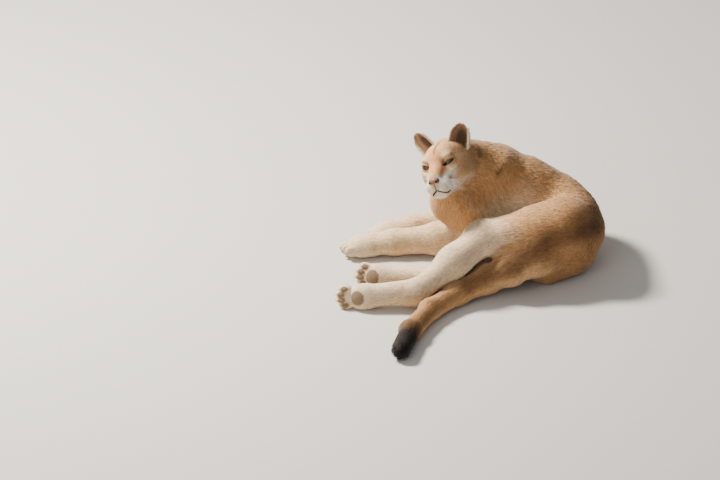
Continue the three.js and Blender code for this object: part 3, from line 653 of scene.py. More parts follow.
TAWNY, GOLD = tone(201, 154, 103), tone(224, 186, 138)
CREAM, WHITE = tone(238, 216, 186), tone(244, 236, 222)
STRIPE_AND_CREASE_SHADE, BROWN, DARK = tone(104, 70, 42), tone(150, 106, 66), tone(40, 29, 24)
FACE, BRIDGE, RUSSET = tone(220, 174, 126), tone(200, 142, 92), tone(188, 118, 68)


def ease(x, a, b):
    t = np.clip((x - a) / (b - a), 0, 1)
    return t * t * (3 - 2 * t)


def within(x, full, faint):
    return ease(-x, -faint, -full)


def mix(colour, other, amount):
    return colour * (1 - amount[:, None]) + other * amount[:, None]


def ripple(p, size, seed):
    r = np.random.default_rng(seed)
    total = np.zeros(len(p))
    for octave in range(4):
        for _ in range(3):
            way = unit(r.normal(size=3)) * (2 * math.pi / size) * 1.7 ** octave
            total += np.sin(p @ way + r.uniform(0, 6.28)) / (octave + 1.2)
    return total / 6


# %% Face markings and painted shade
def patch(middle, half):
    return lambda q: np.linalg.norm((q - middle) / half, axis=1)


def stroke(*points):
    return lambda q: polyline_distance(q, np.array(points, float))


MARKS = [  # shape in the head's frame, colour, where it is full and where it fades out, strength
    (patch((8.3, 3.8, -3.9), (1.4, 1.3, 1.6)), BROWN, 0.4, 1.4, 0.9),  # behind the whisker pad
    # the stroke up the forehead is painted shade in the brow's crease
    (stroke((7.1, 2.2, 1.5), (6.4, 2.1, 3.2), (5.0, 2.3, 4.6)), BROWN, 0.15, 0.8, 0.85),  # up the forehead
    (stroke((7.4, 1.9, 0.6), (10.8, 1.7, -1.6)), RUSSET, 0.2, 1.3, 0.8),  # beside the nose's bridge
    (patch((6.0, 3.2, 3.3), (1.6, 1.7, 0.75)), CREAM, 0.5, 1.3, 0.75),  # pale brow
    (patch((6.4, 4.3, -0.3), (1.5, 1.3, 0.7)), CREAM, 0.5, 1.3, 0.75),  # pale under the eye
    (stroke((7.0, 2.0, 0.9), (8.2, 1.9, -0.6)), DARK, 0.15, 0.6, 0.85),  # tear line
]


def head_colour(p):
    q = head_coords(p)
    x, y, z = q.T
    off = np.abs(y)
    c = mix(FACE, BRIDGE, ease(x, 3, 8) * within(off, 1.0, 2.6) * ease(z, -1.2, 0.8) * 0.8)
    c = mix(c, TAWNY, within(x, -3, 2) * 0.7)
    c = mix(c, WHITE, within(z - 0.10 * off, -2.2, -0.4) * ease(x, 5.5, 8.5) * ease(off, 0.6, 1.4))
    c = mix(c, WHITE, within(z, -5.6, -4.4) * ease(x, 5.2, 7.2))
    c = mix(c, CREAM, within(z, -4.6, -2.6) * 0.6)
    for s in SIDES:
        for reach, colour, full, faint, strength in MARKS:
            c = mix(c, colour, within(reach(q * (1, s, 1)), full, faint) * strength)
        at, gaze, _, _ = eye_frame(s)
        in_front = ease((p - at) @ gaze / UNIT, 0.2, 0.8)
        c = mix(c, DARK, within(lens(p, s) / UNIT, 0.16, 0.42) * in_front)
    # painted shade in the crease down the middle of the forehead
    crease_shade = within(off, 0.10, 0.62) * ease(x, -0.5, 1.5) * within(x, 6.5, 7.8) * ease(z, 2.0, 3.0)
    c = mix(c, STRIPE_AND_CREASE_SHADE, crease_shade * 0.8)
    c = mix(c, TAWNY, ease(off, 3.0, 5.2) * ease(z, 1.6, 3.6) * 0.6)
    lips = np.minimum(*[polyline_distance(p, line) for line in mouth_lines])
    c = mix(c, DARK, within(lips, 0.0018, 0.0042))
    return mix(c, DARK, within(polyline_distance(p, philtrum), 0.0009, 0.0022) * 0.8)


# %% Body markings, with painted shade and painted light
INSIDE = {"fore_left": 1, "fore_right": -1, "hind_left": -1, "hind_right": 1}  # which side faces the body
TAIL_HEIGHTS = [at[2] for at, _ in TAIL]


def trunk_colour(p, along, side, rise):
    c = mix(TAWNY, GOLD, within(rise, -0.25, 0.45) * 0.7)
    belly = within(p[:, 0], 0.14, 0.24) * ease(p[:, 1], -0.02, 0.06) * within(p[:, 1], 0.10, 0.17)
    c = mix(c, CREAM, belly * 0.8)
    # darker along the back, and painted shade over the rump: brown on the first spans, fading by the loin
    c = mix(c, BROWN, ease(rise, -0.1, 0.9) * 0.2 + within(along, 1.6, 3.6) * 0.5)
    ridge = ease(rise, 0.86, 0.97) * within(np.abs(side), 0.10, 0.42) * ease(along, 3.0, 4.5)
    return mix(c, STRIPE_AND_CREASE_SHADE, ridge * 0.25)


def neck_colour(p, along, side, rise):
    c = mix(TAWNY, BROWN, ease(rise, 0.2, 0.9) * 0.35)
    return mix(c, CREAM, within(p[:, 2], 0.15, 0.21) * within(p[:, 0], -0.05, 0.02) * 0.8)


def tail_colour(p, along, side, rise):
    middle = np.interp(along, range(len(TAIL)), TAIL_HEIGHTS)
    c = mix(TAWNY, BROWN, ease(p[:, 2] - middle, 0, 0.022) * 0.5)
    c = mix(c, STRIPE_AND_CREASE_SHADE, ease(rise, 0.55, 0.95) * within(along, 0.4, 2.2) * 0.9)
    return mix(c, DARK, ease(along, 4.75, 5.35))


def leg_colour(name, p, along, side, rise):
    hind = name.startswith("hind")
    if name.endswith("lower"):
        c = mix(TAWNY, GOLD, ease(along, 0.0, 1.0))
        # painted highlight: the lower legs are paler on top, where the light falls
        c = mix(c, CREAM, (0.55 if hind else 0.3) * ease(p[:, 2], 0.02, 0.07))
        return mix(c, CREAM, ease(along, 1.9, 3.0) * 0.5)
    down = along - np.floor(along)
    if hind:
        # painted shade: brown at the thigh's hip and ham ends and along its sides; painted highlight: cream
        # toward the knee
        c = mix(TAWNY, BROWN, within(down, 0.1, 0.75) * 0.62 + within(np.abs(rise), 0, 0.5) * 0.15)
        return mix(c, CREAM, ease(down, 0.45, 1.0) * 0.7)
    inner = INSIDE[name.rsplit("_", 1)[0]] * side
    return mix(mix(TAWNY, GOLD, down * 0.5), CREAM, ease(inner, 0.2, 0.8) * 0.6)


# %% Where a point is along its part, and that part's colour
def nearest(shapes, p):
    best = np.stack([distance(c, p) for c in shapes]).argmin(0)
    along, side, rise = (np.zeros(len(p)) for _ in range(3))
    for k, c in enumerate(shapes):
        m = best == k
        q = p[m] - c["a"]
        t = np.clip((q @ c["w"]) / max(c["length"], 1e-9), 0, 1)
        r = c["ra"] + (c["rb"] - c["ra"]) * t
        along[m] = k + np.minimum(t, 0.999)
        side[m] = (q @ c["u"]) / c["wide"] / r
        rise[m] = (q @ c["v"]) / c["high"] / r
    return along, side, rise


def part_colour(name, p):
    if name == "head":
        return head_colour(p)
    spot = nearest(GROUPS[name], p)
    if name in ("trunk", "neck", "tail"):
        return {"trunk": trunk_colour, "neck": neck_colour, "tail": tail_colour}[name](p, *spot)
    return leg_colour(name, p, *spot)


# %% The coat's colour at any place
# The dark line of the back runs over the hip and on to the tail, whichever part lies under it
BACK_LINE = np.array([[0.335, 0.040, 0.150], [0.311, -0.033, 0.165], [0.219, -0.078, 0.161],
                      [0.135, -0.114, 0.113], [0.081, -0.121, 0.092], [0.000, -0.138, 0.064]])
# Painted shade in two folds of loose skin where the neck is turned
NECK_CREASE_SHADES = [np.array([[0.006, 0.160, 0.333], [0.011, 0.143, 0.322], [0.014, 0.127, 0.311]]),
           np.array([[0.100, 0.171, 0.283], [0.068, 0.128, 0.268]])]
LEAST_SHARE = 0.01


def coat_colour(p):
    w = shares(p, 0.009)
    c = np.zeros((len(p), 3))
    for name, amount in w.items():
        m = amount > LEAST_SHARE
        if m.any():
            c[m] += amount[m, None] * part_colour(name, p[m])
    c /= np.maximum(sum(np.where(a > LEAST_SHARE, a, 0) for a in w.values()), 1e-6)[:, None]
    c = mix(c, STRIPE_AND_CREASE_SHADE, within(polyline_distance(p, BACK_LINE), 0.006, 0.040) * 0.62)
    # painted shade in the neck's folds
    for crease_shade in NECK_CREASE_SHADES:
        c = mix(c, STRIPE_AND_CREASE_SHADE, within(polyline_distance(p, crease_shade), 0.003, 0.011) * 0.8)
    grain = 0.16 * ripple(p, 0.16, 3) + 0.12 * ripple(p, 0.03, 4)
    grain = grain + (0.40 * (w["trunk"] + w["neck"]) + 0.12) * ripple(p, 0.011, 5)
    return np.clip(c * (1 + grain)[:, None], 0, 1)


# %% [markdown]
# ## The lie of the coat
# Hair grows away from the nose over the head, back along the neck and trunk, and down each leg and the tail.
# It could be combed by hand. Each cone already knows which way it runs, though, so the lie is the mean of
# the cones near by, and only the part of it that runs along the skin counts, because the hair lies flat.

# %% Which way the hair lies
LIE_FADE, BACK_OFF_FACE = 0.014, 0.35


def lie(p, normal):
    d = np.stack([distance(c, p) for c in cones])
    w = np.exp(-(d - d.min(0)) / LIE_FADE)
    flow = w.T @ np.stack([c["flow"] for c in cones])
    on_face = shares(p)["head"][:, None]
    back = unit(p - NOSE_AT) - BACK_OFF_FACE * FRONT
    flow = unit(flow) * (1 - on_face) + unit(back) * on_face
    flow -= (flow * normal).sum(1)[:, None] * normal
    return unit(flow)


# %% [markdown]
# ## Bare skin
# No hair grows on the lips, the nose, the lids' edges or the foot pads. Hair there could be combed away
# later, but it is simpler never to root it. Only the soles of the hind feet show, so only they get pads.

# %% Foot pads and other bare places
PAD_THICK = 0.5  # how near the sole a point must be, as a share of the paw
PADS = []
for name in ("hind_left", "hind_right"):
    forward, side, top = paw_frame(name)
    sole = top if top[1] < 0 else -top
    heel = JOINTS[name]["knuckle"] + forward * HIND_PAW * 0.35 + sole * HIND_PAW * 0.50
    PADS.append((heel, forward, side, sole, 0.56, 0.62))
    for at in toe_places(name, HIND_PAW):
        toe = at + forward * HIND_PAW * 0.08 + sole * HIND_PAW * 0.36
        PADS.append((toe, forward, side, sole, 0.34, 0.24))


def pad_reach(p, pad):
    at, forward, side, sole, long, wide = pad
    local = p - at
    reach = np.hypot((local @ forward) / (long * HIND_PAW), (local @ side) / (wide * HIND_PAW))
    return reach, np.abs(local @ sole) < PAD_THICK * HIND_PAW


def bare(p):
    hide = polyline_distance(p, np.concatenate([mouth_lines[0][::-1], mouth_lines[1]])) < 0.0024
    hide |= np.linalg.norm((p - NOSE_AT) @ TURN.T / (0.0125, 0.0165, 0.0115), axis=1) < 1.06
    for s in SIDES:
        at, gaze, _, _ = eye_frame(s)
        hide |= (lens(p, s) < 0.0022) & ((p - at) @ gaze > 0.3 * EYE_RADIUS)
    for pad in PADS:
        reach, near = pad_reach(p, pad)
        hide |= (reach < 1.0) & near
    return hide


print("foot pads:", len(PADS))

# %% [markdown]
# ## Colour the skin
# Under the fur the skin shows between the tufts. An image would do, but each point of the skin can keep its
# own colour as an attribute, which the material reads, and the points lie closer than the marks are wide.

# %% Skin colours
PAD_BROWN, SKIN_SHADE = tone(128, 106, 82), 0.92


def read_points(obj):
    mesh = obj.data
    co = np.zeros(len(mesh.vertices) * 3)
    mesh.vertices.foreach_get("co", co)
    normal = np.zeros(len(mesh.vertices) * 3, np.float32)
    mesh.vertex_normals.foreach_get("vector", normal)
    return co.reshape(-1, 3) - SHIFT, normal.reshape(-1, 3).astype(float)


def paint(obj, colour):
    layer = obj.data.color_attributes.new("coat", "FLOAT_COLOR", "POINT")
    layer.data.foreach_set("color", np.c_[colour, np.ones(len(colour))].astype(np.float32).ravel())


skin_p, skin_n = read_points(skin)
skin_colour = coat_colour(skin_p)
for pad in PADS:
    reach, near = pad_reach(skin_p, pad)
    skin_colour = mix(skin_colour, PAD_BROWN, within(reach, 0.9, 1.05) * near)
paint(skin, skin_colour * SKIN_SHADE)
print("skin colours from", skin_colour.min(0).round(2), "to", skin_colour.max(0).round(2))

# %% [markdown]
# ## Fur
# Short flat fur is a great many fine hairs that overlap like thatch. Single hairs as particles would be
# dropped on export and cost far too much. So each tuft is one small pointed sliver with a low ridge, spread
# over the skin by area, turned to the lie of the coat and lifted a little. Tufts are longest on the trunk,
# neck and tail and only a few millimetres long on the face and feet.

# %% How big the tufts are
DENSITY, LONG, WIDE, LIFT, SWAY = range(5)
FUR = {  # tufts per square metre, length, width, lift in degrees, lean to the side at random
    "trunk": (280000, 0.0190, 0.0024, 12, 0.20),
    "neck": (340000, 0.0185, 0.0023, 15, 0.24),
    "head": (620000, 0.0062, 0.0012, 13, 0.14),
    "tail": (230000, 0.0165, 0.0022, 14, 0.20),
    "upper": (280000, 0.0165, 0.0023, 11, 0.18),
    "lower": (330000, 0.0110, 0.0019, 10, 0.16),
    "paw": (420000, 0.0062, 0.0015, 10, 0.14),
}
FEATHER = np.array([JOINTS["hind_left"]["calf"], JOINTS["hind_left"]["hock"]]) + (0, -0.02, -0.03)


def traits(p):
    w = shares(p, 0.016)
    out = sum(amount[:, None] * np.array(FUR[kind_of(name)]) for name, amount in w.items())
    out[paw_zone(p)] = FUR["paw"]
    x = head_coords(p)[:, 0]
    crown = w["head"] * within(x, -2.0, 4.5)
    muzzle = w["head"] * ease(x, 5.5, 9.5)
    ruffled = within(polyline_distance(p, FEATHER), 0.02, 0.045) * w["hind_left_lower"]
    for amount, changes in ((crown, {LONG: 0.9, WIDE: 0.5, DENSITY: -0.35}), (muzzle, {LONG: -0.35}),
                            (ruffled, {LONG: 0.8, LIFT: 0.8, SWAY: 1.2})):
        for trait, change in changes.items():
            out[:, trait] *= 1 + change * amount
    return out


# %% Where the tufts stand
ON_FLOOR = 0.002  # no tufts where the skin is pressed on the floor
rng = np.random.default_rng(41)
tri = np.zeros(len(skin.data.loop_triangles) * 3, np.int32)
skin.data.loop_triangles.foreach_get("vertices", tri)
tri = tri.reshape(-1, 3)
corner = skin_p[tri]
area = np.linalg.norm(np.cross(corner[:, 1] - corner[:, 0], corner[:, 2] - corner[:, 0]), axis=1) / 2
wanted = area * traits(skin_p)[tri, DENSITY].mean(1)
wanted[corner[:, :, 2].max(1) < ON_FLOOR] = 0
root_tri = np.repeat(np.arange(len(tri)), rng.poisson(wanted))
r1, r2 = np.sqrt(rng.random(len(root_tri))), rng.random(len(root_tri))
weights = np.stack([1 - r1, r1 * (1 - r2), r1 * r2], 1)[:, :, None]
root = (corner[root_tri] * weights).sum(1)
normal = unit((skin_n[tri][root_tri] * weights).sum(1))
keep = ~bare(root)
root, normal = root[keep], normal[keep]
print("skin area", round(float(area.sum()), 3), "m2, tufts:", len(root))

# %% Tufts from arrays
ROOT_SINK, LEAST_RISE, ABOVE_FLOOR = 0.0006, 0.0007, 0.0004
RIDGE_ALONG, RIDGE_RISE, CLUMP = 0.42, 0.62, 0.035
SHADES = np.array([0.72, 0.72, 1.0, 1.2])  # two root corners, ridge and tip
BAKE_PATCH = np.array([[-0.001, -0.0013], [0.001, -0.0013], [0, 0.0002], [0, 0.0015]])


def make_tufts(name, p, n, flow, colour, trait, spots, seed):
    r = np.random.default_rng(seed)
    count = len(p)
    long = trait[:, LONG] * r.uniform(0.65, 1.25, count)
    wide = trait[:, WIDE] * r.uniform(0.75, 1.25, count)
    lift = np.radians(trait[:, LIFT]) * r.uniform(0.45, 1.6, count)
    sway = trait[:, SWAY] * (r.normal(size=count) + ripple(p, CLUMP, 9) * 1.6)
    flow = unit(flow + np.cross(n, flow) * sway[:, None])
    cross = np.cross(n, flow)
    tip_way = flow * np.cos(lift)[:, None] + n * np.sin(lift)[:, None]
    half = cross * wide[:, None] / 2
    base = p - n * ROOT_SINK
    height = np.sin(lift) * long * RIDGE_RISE + LEAST_RISE
    ridge = base + flow * (long * RIDGE_ALONG)[:, None] + n * height[:, None]
    points = np.stack([base - half, base + half, ridge, base + tip_way * long[:, None]], 1)
    points[:, :, 2] = np.maximum(points[:, :, 2], ABOVE_FLOOR)
    start = np.arange(count)[:, None] * 4
    faces = np.stack([start + [0, 2, 1], start + [1, 2, 3], start + [3, 2, 0]], 1).reshape(-1, 3)
    out = new_piece(name, points.reshape(-1, 3), faces)
    lean = np.stack([n * 0.9 - cross * 0.35 - flow * 0.1, n * 0.9 + cross * 0.35 - flow * 0.1,
                     n, n + tip_way * 0.25], 1)
    out.data.normals_split_custom_set_from_vertices(unit(lean).reshape(-1, 3))
    shade = SHADES * r.uniform(0.7, 1.26, count)[:, None]
    paint(out, np.clip(colour[:, None, :] * shade[:, :, None], 0, 1).reshape(-1, 3))
    uv = np.clip(spots[:, None, :] + BAKE_PATCH, 0, 1).reshape(-1, 2)
    loops = np.zeros(len(out.data.loops), np.int32)
    out.data.loops.foreach_get("vertex_index", loops)
    layer = out.data.uv_layers.new(name="OFBake")
    layer.data.foreach_set("uv", uv[loops].astype(np.float32).ravel())
    return out


# %% One coat piece for each part
SLOTS = {"trunk": "back_fur", "neck": "back_fur", "head": "face_fur", "tail": "tail_fur"}


def unwrap(name, p):
    if name == "head":
        q = unit(head_coords(p) - (2, 0, -0.5))
        return np.stack([np.arctan2(q[:, 1], q[:, 0]) / 6.6 + 0.5, np.arccos(q[:, 2]) / 3.3 + 0.02], 1)
    along, side, rise = nearest(GROUPS[name], p)
    return np.stack([(along + 0.1) / (len(GROUPS[name]) + 0.4), np.arctan2(side, rise) / 6.6 + 0.5], 1)


fur_colour, fur_traits, way = coat_colour(root), traits(root), lie(root, normal)
part = np.stack([melt(group, root) for group in GROUPS.values()]).argmin(0)
fur = []
for k, name in enumerate(GROUPS):
    mine = part == k
    if mine.any():
        made = make_tufts("fur_" + name, root[mine], normal[mine], way[mine], fur_colour[mine],
                          fur_traits[mine], unwrap(name, root[mine]), 100 + k)
        fur.append((made, SLOTS.get(name, "leg_fur")))
        print(made.name, len(made.data.polygons), "triangles")
print("fur in all", sum(len(made.data.polygons) for made, _ in fur))

# %% [markdown]
# ## Eyes
# A cougar's eye is a brown iris with a round pupil under a clear wet cornea. A ready-made ball has its rings
# evenly spread, which would blur the iris. So each eye is a ball of its real size, turned to the gaze, with
# its rings close together at the front and fine spokes of tone in the iris.

# %% Make the eyes
PUPIL, IRIS = math.radians(11), math.radians(34)
FRONT_RINGS, FRONT_ANGLE, BACK_RINGS, BACK_ANGLE = 45, math.radians(52), 13, math.radians(60)
SPOKES = 96
PUPIL_BLACK, EYE_DARK = tone(8, 6, 5), tone(58, 42, 34)
IRIS_INNER, IRIS_OUTER = tone(104, 74, 38), tone(60, 40, 24)


def facing_out(points, faces):
    corner = points[faces]
    away = np.cross(corner[:, 1] - corner[:, 0], corner[:, 2] - corner[:, 0])
    return faces if ((corner.mean(1) - points.mean(0)) * away).sum() > 0 else faces[:, ::-1]


def eye_tones(ring, spoke_tone):
    t = np.clip((ring - PUPIL) / (IRIS - PUPIL), 0, 1)[:, None]
    iris = (IRIS_INNER * (1 - t) + IRIS_OUTER * t) * spoke_tone[:, None] * np.where(t > 0.86, 0.5, 1.0)
    return np.where(ring[:, None] < PUPIL, PUPIL_BLACK, np.where(ring[:, None] < IRIS, iris, EYE_DARK))


def make_eye(name, s):
    at, gaze, outward, rise = eye_frame(s)
    rings = np.concatenate([np.linspace(0, FRONT_ANGLE, FRONT_RINGS + 1)[1:],
                            np.linspace(BACK_ANGLE, math.pi, BACK_RINGS + 1)[:-1]])
    ring = np.repeat(rings, SPOKES)
    spin = np.tile(np.arange(SPOKES) * 2 * math.pi / SPOKES, len(rings))
    around = np.outer(np.cos(spin), outward) + np.outer(np.sin(spin), rise)
    ball = np.outer(np.cos(ring), gaze) + around * np.sin(ring)[:, None]
    points = at + np.vstack([gaze, ball, -gaze]) * EYE_RADIUS
    here = 1 + np.arange(len(ring)).reshape(-1, SPOKES)
    there = np.roll(here, -1, 1)
    front, back = np.zeros_like(here[0]), np.full_like(here[0], len(points) - 1)
    faces = np.concatenate([np.stack([front, here[0], there[0]], 1), np.stack([here[-1], back, there[-1]], 1),
                            np.stack([here[:-1], here[1:], there[1:]], -1).reshape(-1, 3),
                            np.stack([here[:-1], there[1:], there[:-1]], -1).reshape(-1, 3)])
    made = new_piece(name, points, facing_out(points, faces))
    spoke_tone = np.tile(np.random.default_rng(7).uniform(0.75, 1.2, SPOKES), len(rings))
    paint(made, np.vstack([PUPIL_BLACK, eye_tones(ring, spoke_tone), EYE_DARK]))
    return made


eyes = [make_eye("eyeball_left", 1), make_eye("eyeball_right", -1)]
print("eyes:", round(EYE_RADIUS * 2000), "mm across")

# %% [markdown]
# ## Nose leather
# The bare nose is a broad brown pad with a nostril at each side that curls back in a comma. It could be part
# of the skin, but its finish is moist and pebbled and its edges are crisp, so it is a small field of its
# own, meshed finely, with the nostrils carved out of it.

# %% Make the nose
NOSE_CELL, NOSE_REACH = 0.0009, 0.022
NOSE_HALF = np.array([0.0108, 0.0158, 0.0100])
NOSTRILS = [  # place in the head's frame, half sizes, softness, and whether it is added or carved
    ((12.35, 1.05, -2.75), (0.0062, 0.0058, 0.0052), 0.003, blend),
    ((13.0, 0.92, -2.75), (0.0050, 0.0028, 0.0024), 0.0012, carve),
    ((12.7, 1.42, -2.45), (0.0046, 0.0032, 0.0013), 0.0012, carve),
]
NOSE_BROWN, NOSE_EDGE, NOSTRIL_SHADE = tone(140, 92, 74), tone(70, 46, 40), tone(20, 14, 12)


def ball_at(p, at, radii):
    q = (p - at) @ TURN.T / radii
    far = np.linalg.norm(q, axis=1) + 1e-9
    slope = np.linalg.norm(q / radii, axis=1) / far
    return (far - 1) / np.maximum(slope, 1e-6)


def nose_field(p):
    d = ball_at(p, NOSE_AT, NOSE_HALF)
    for s in SIDES:
        for (x, y, z), half, soft, join in NOSTRILS:
            d = join(d, ball_at(p, on_head(x, s * y, z), np.array(half)), soft)
    slit = np.maximum(np.abs((p - NOSE_AT) @ LEFT) - 0.0002, (p - NOSE_AT) @ UP + 0.002)
    return carve(d, slit, 0.0016)


points, faces = net(nose_field, NOSE_AT - NOSE_REACH, NOSE_AT + NOSE_REACH, NOSE_CELL)
nose = new_piece("nose_leather", points, faces)
q = (points - NOSE_AT) @ TURN.T
edge = ease(np.abs(q[:, 1]), 0.009, 0.0155) * 0.6 + ease(q[:, 2], 0.005, 0.0095) * 0.5
# painted shade inside the nostrils
nostril_shade_reach = np.minimum(*[np.linalg.norm((points - on_head(12.9, s * 1.05, -2.65)) @ TURN.T
                                   / (0.007, 0.0042, 0.0034), axis=1) for s in SIDES])
nose_colour = mix(NOSE_BROWN, NOSE_EDGE, np.clip(edge, 0, 0.85))
paint(nose, mix(nose_colour, NOSTRIL_SHADE, within(nostril_shade_reach, 0.7, 1.15)))
print("nose:", len(faces), "faces")

# %% [markdown]
# ## Ears
# The ears are short, rounded cups, darker behind and paler within, with a rim of short fur and longer pale
# hairs standing in from the front edge. The skin's grid is too coarse for a leaf this thin, and a flat leaf
# would look like card, so each ear is one bent sheet with a front, a back and an edge.

# %% The leaf of an ear
EAR = dict(root=(-1.8, 4.7), height=6.0, half=2.85, cup=1.7, back=0.12, thick=0.62, roundness=2.3)
EAR_TURN = {1: (math.radians(22), 5.0), -1: (math.radians(34), 5.7)}  # its lean out, and its root's height
EAR_ROWS, EAR_COLUMNS, EAR_FOOT, EAR_TIP = 30, 28, -0.25, 0.985
EAR_LINING = tone(176, 132, 98)


def ear_leaf(s, u, v, depth):
    lean, base = EAR_TURN[s]
    rise = np.array([-0.12, math.sin(lean) * s, math.cos(lean)])
    side = unit(np.cross(rise, unit([0.9, 0.42 * s, 0.0])))
    front = np.cross(side, unit(rise))
    half = EAR["half"] * np.sqrt(np.maximum(1 - np.maximum(v, 0) ** EAR["roundness"], 0)) + 0.05
    bend = EAR["cup"] * (1 - 0.55 * np.maximum(v, 0))
    back = bend * (1 - u * u) - depth * (1 - 0.75 * u * u)
    foot = np.array([EAR["root"][0], EAR["root"][1] * s, base])
    q = foot + rise * (EAR["height"] * v)[..., None] + side * (half * u)[..., None] - front * back[..., None]
    return HEAD_AT + q @ TURN * UNIT


def ear_colour(u, v, inner):
    rim = np.maximum(np.abs(u), ease(v, 0.75, 1.0))
    colour = mix(BROWN, DARK, (1 - inner) * within(rim, 0.4, 0.9) * 0.45)
    colour = mix(colour, EAR_LINING, inner)
    # painted shade deep in the cup, towards its foot
    ear_hollow_shade = within(np.hypot(u - 0.25, (v - 0.2) * 1.1), 0.3, 0.95)
    colour = mix(colour, DARK, inner * ear_hollow_shade * 0.8)
    return mix(colour, CREAM, ease(rim, 0.74, 0.94) * (0.75 + 0.25 * inner))


def make_ear(name, s):
    v, u = np.meshgrid(np.linspace(EAR_FOOT, EAR_TIP, EAR_ROWS + 1), np.linspace(-1, 1, EAR_COLUMNS + 1),
                       indexing="ij")
    depth = EAR["thick"] * (1 - 0.6 * np.maximum(v, 0))
    points = np.concatenate([ear_leaf(s, u, v, EAR["back"]), ear_leaf(s, u, v, depth)]).reshape(-1, 3)
    grid = np.arange(v.size).reshape(v.shape)
    sheet = np.stack([grid[:-1, :-1], grid[:-1, 1:], grid[1:, 1:], grid[1:, :-1]], -1).reshape(-1, 4)
    ring = np.concatenate([grid[0], grid[1:, -1], grid[-1, -2::-1], grid[-2:0:-1, 0]])
    nxt = np.roll(ring, -1)
    wall = np.stack([nxt, ring, ring + v.size, nxt + v.size], 1)
    faces = np.concatenate([sheet, sheet[:, ::-1] + v.size, wall])
    made = new_piece(name, points, facing_out(points, faces))
    u, v = np.tile(u.ravel(), 2), np.tile(v.ravel(), 2)
    colour = ear_colour(u, v, np.repeat([0.0, 1.0], grid.size))
    paint(made, colour)
    return made, colour, u, v


# %% Fur on the ears
EAR_TUFTS = 9000
EAR_FUR = (0, 0.0050, 0.0012, 12, 0.15)  # in the order of the coat's table
LINING_LONG, LINING_LIFT, TIP_LONG = 0.0085, 20, 0.0022


def fur_on_ear(made, colour, u, v, s):
    p, n = read_points(made)
    r = np.random.default_rng(60 + s)
    pick = r.integers(0, len(p), EAR_TUFTS)
    pick = pick[v[pick] > -0.2]
    u, v, n = u[pick], v[pick], n[pick]
    at = p[pick] + r.normal(scale=0.0006, size=(len(pick), 3))
    inner = pick >= len(p) // 2
    lean = EAR_TURN[s][0]
    rise = unit(turn(-0.12, math.sin(lean) * s, math.cos(lean)))
    flow = rise + r.normal(scale=0.12, size=(len(pick), 3))
    lining = inner & (np.abs(u) > 0.45)
    flow[lining] += unit(turn(0.4, -0.9 * s, 0.0)) * -np.sign(u[lining])[:, None] * 0.9 * s
    flow = unit(flow - (flow * n).sum(1)[:, None] * n)
    size = np.repeat(np.array([EAR_FUR]), len(pick), 0)
    size[lining, LONG] = LINING_LONG
    size[lining, LIFT] = LINING_LIFT
    size[v > 0.72, LONG] = TIP_LONG
    spots = np.stack([u * 0.22 + 0.25 + 0.5 * inner, (v + 0.3) / 1.4], 1)
    return make_tufts("fur_" + made.name, at, n, flow, np.clip(colour[pick], 0, 1), size, spots, 80 + s)


ears, ear_fur = [], []
for name, s in (("ear_cup_left", 1), ("ear_cup_right", -1)):
    made, colour, u, v = make_ear(name, s)
    ears.append(made)
    ear_fur.append(fur_on_ear(made, colour, u, v, s))
    print(name, "has", len(ear_fur[-1].data.polygons), "triangles of fur")

# %% [markdown]
# ## Materials
# Hair is matt with a faint sheen, skin is duller, an eye is wet and a nose is moist. Each could have its own
# tree of nodes, but the skin and the tufts must never drift apart. So one group makes the coat's finish for
# all: it takes the coat's colour and gives a colour with fine grain and a height for the bump.

# %% One group for the grain of the coat
def node(tree, kind, values=None, **settings):
    made = tree.nodes.new(kind)
    for key, value in settings.items():
        setattr(made, key, value)
    for key, value in (values or {}).items():
        made.inputs[key].default_value = value
    return made


def wire(tree, *wires):
    for source, out, target, into in wires:
        tree.links.new(source.outputs[out], target.inputs[into])


def add_sockets(tree, way, *sockets):
    for name, kind, *value in sockets:
        socket = tree.interface.new_socket(name, in_out=way, socket_type="NodeSocket" + kind)
        if value:
            socket.default_value = value[0]


def coat_grain():
    tree = bpy.data.node_groups.new("coat_grain", "ShaderNodeTree")
    add_sockets(tree, "INPUT", ("Coat", "Color"), ("Grain", "Float", 0.3), ("Fineness", "Float", 300))
    add_sockets(tree, "OUTPUT", ("Color", "Color"), ("Height", "Float"))
    given, made = node(tree, "NodeGroupInput"), node(tree, "NodeGroupOutput")
    where = node(tree, "ShaderNodeTexCoord")
    noise = node(tree, "ShaderNodeTexNoise", {"Detail": 4})
    spread = node(tree, "ShaderNodeMapRange",
                  {"From Min": 0.3, "From Max": 0.7, "To Min": 0.6, "To Max": 1.3})
    grained = node(tree, "ShaderNodeVectorMath", operation="SCALE")
    mixed = node(tree, "ShaderNodeMix", data_type="RGBA")
    wire(tree, (where, "Object", noise, "Vector"), (given, "Fineness", noise, "Scale"),
         (noise, "Fac", spread, "Value"), (given, "Coat", grained, 0), (spread, "Result", grained, "Scale"),
         (given, "Grain", mixed, "Factor"), (given, "Coat", mixed, "A"), (grained, "Vector", mixed, "B"),
         (mixed, "Result", made, "Color"), (noise, "Fac", made, "Height"))
    return tree


GRAIN = coat_grain()
print("nodes in the coat's group:", len(GRAIN.nodes))


# %% The finishes
def plain_finish(name, values):
    material = bpy.data.materials.new(name)
    material.use_nodes = True
    for key, value in values.items():
        material.node_tree.nodes["Principled BSDF"].inputs[key].default_value = value
    return material


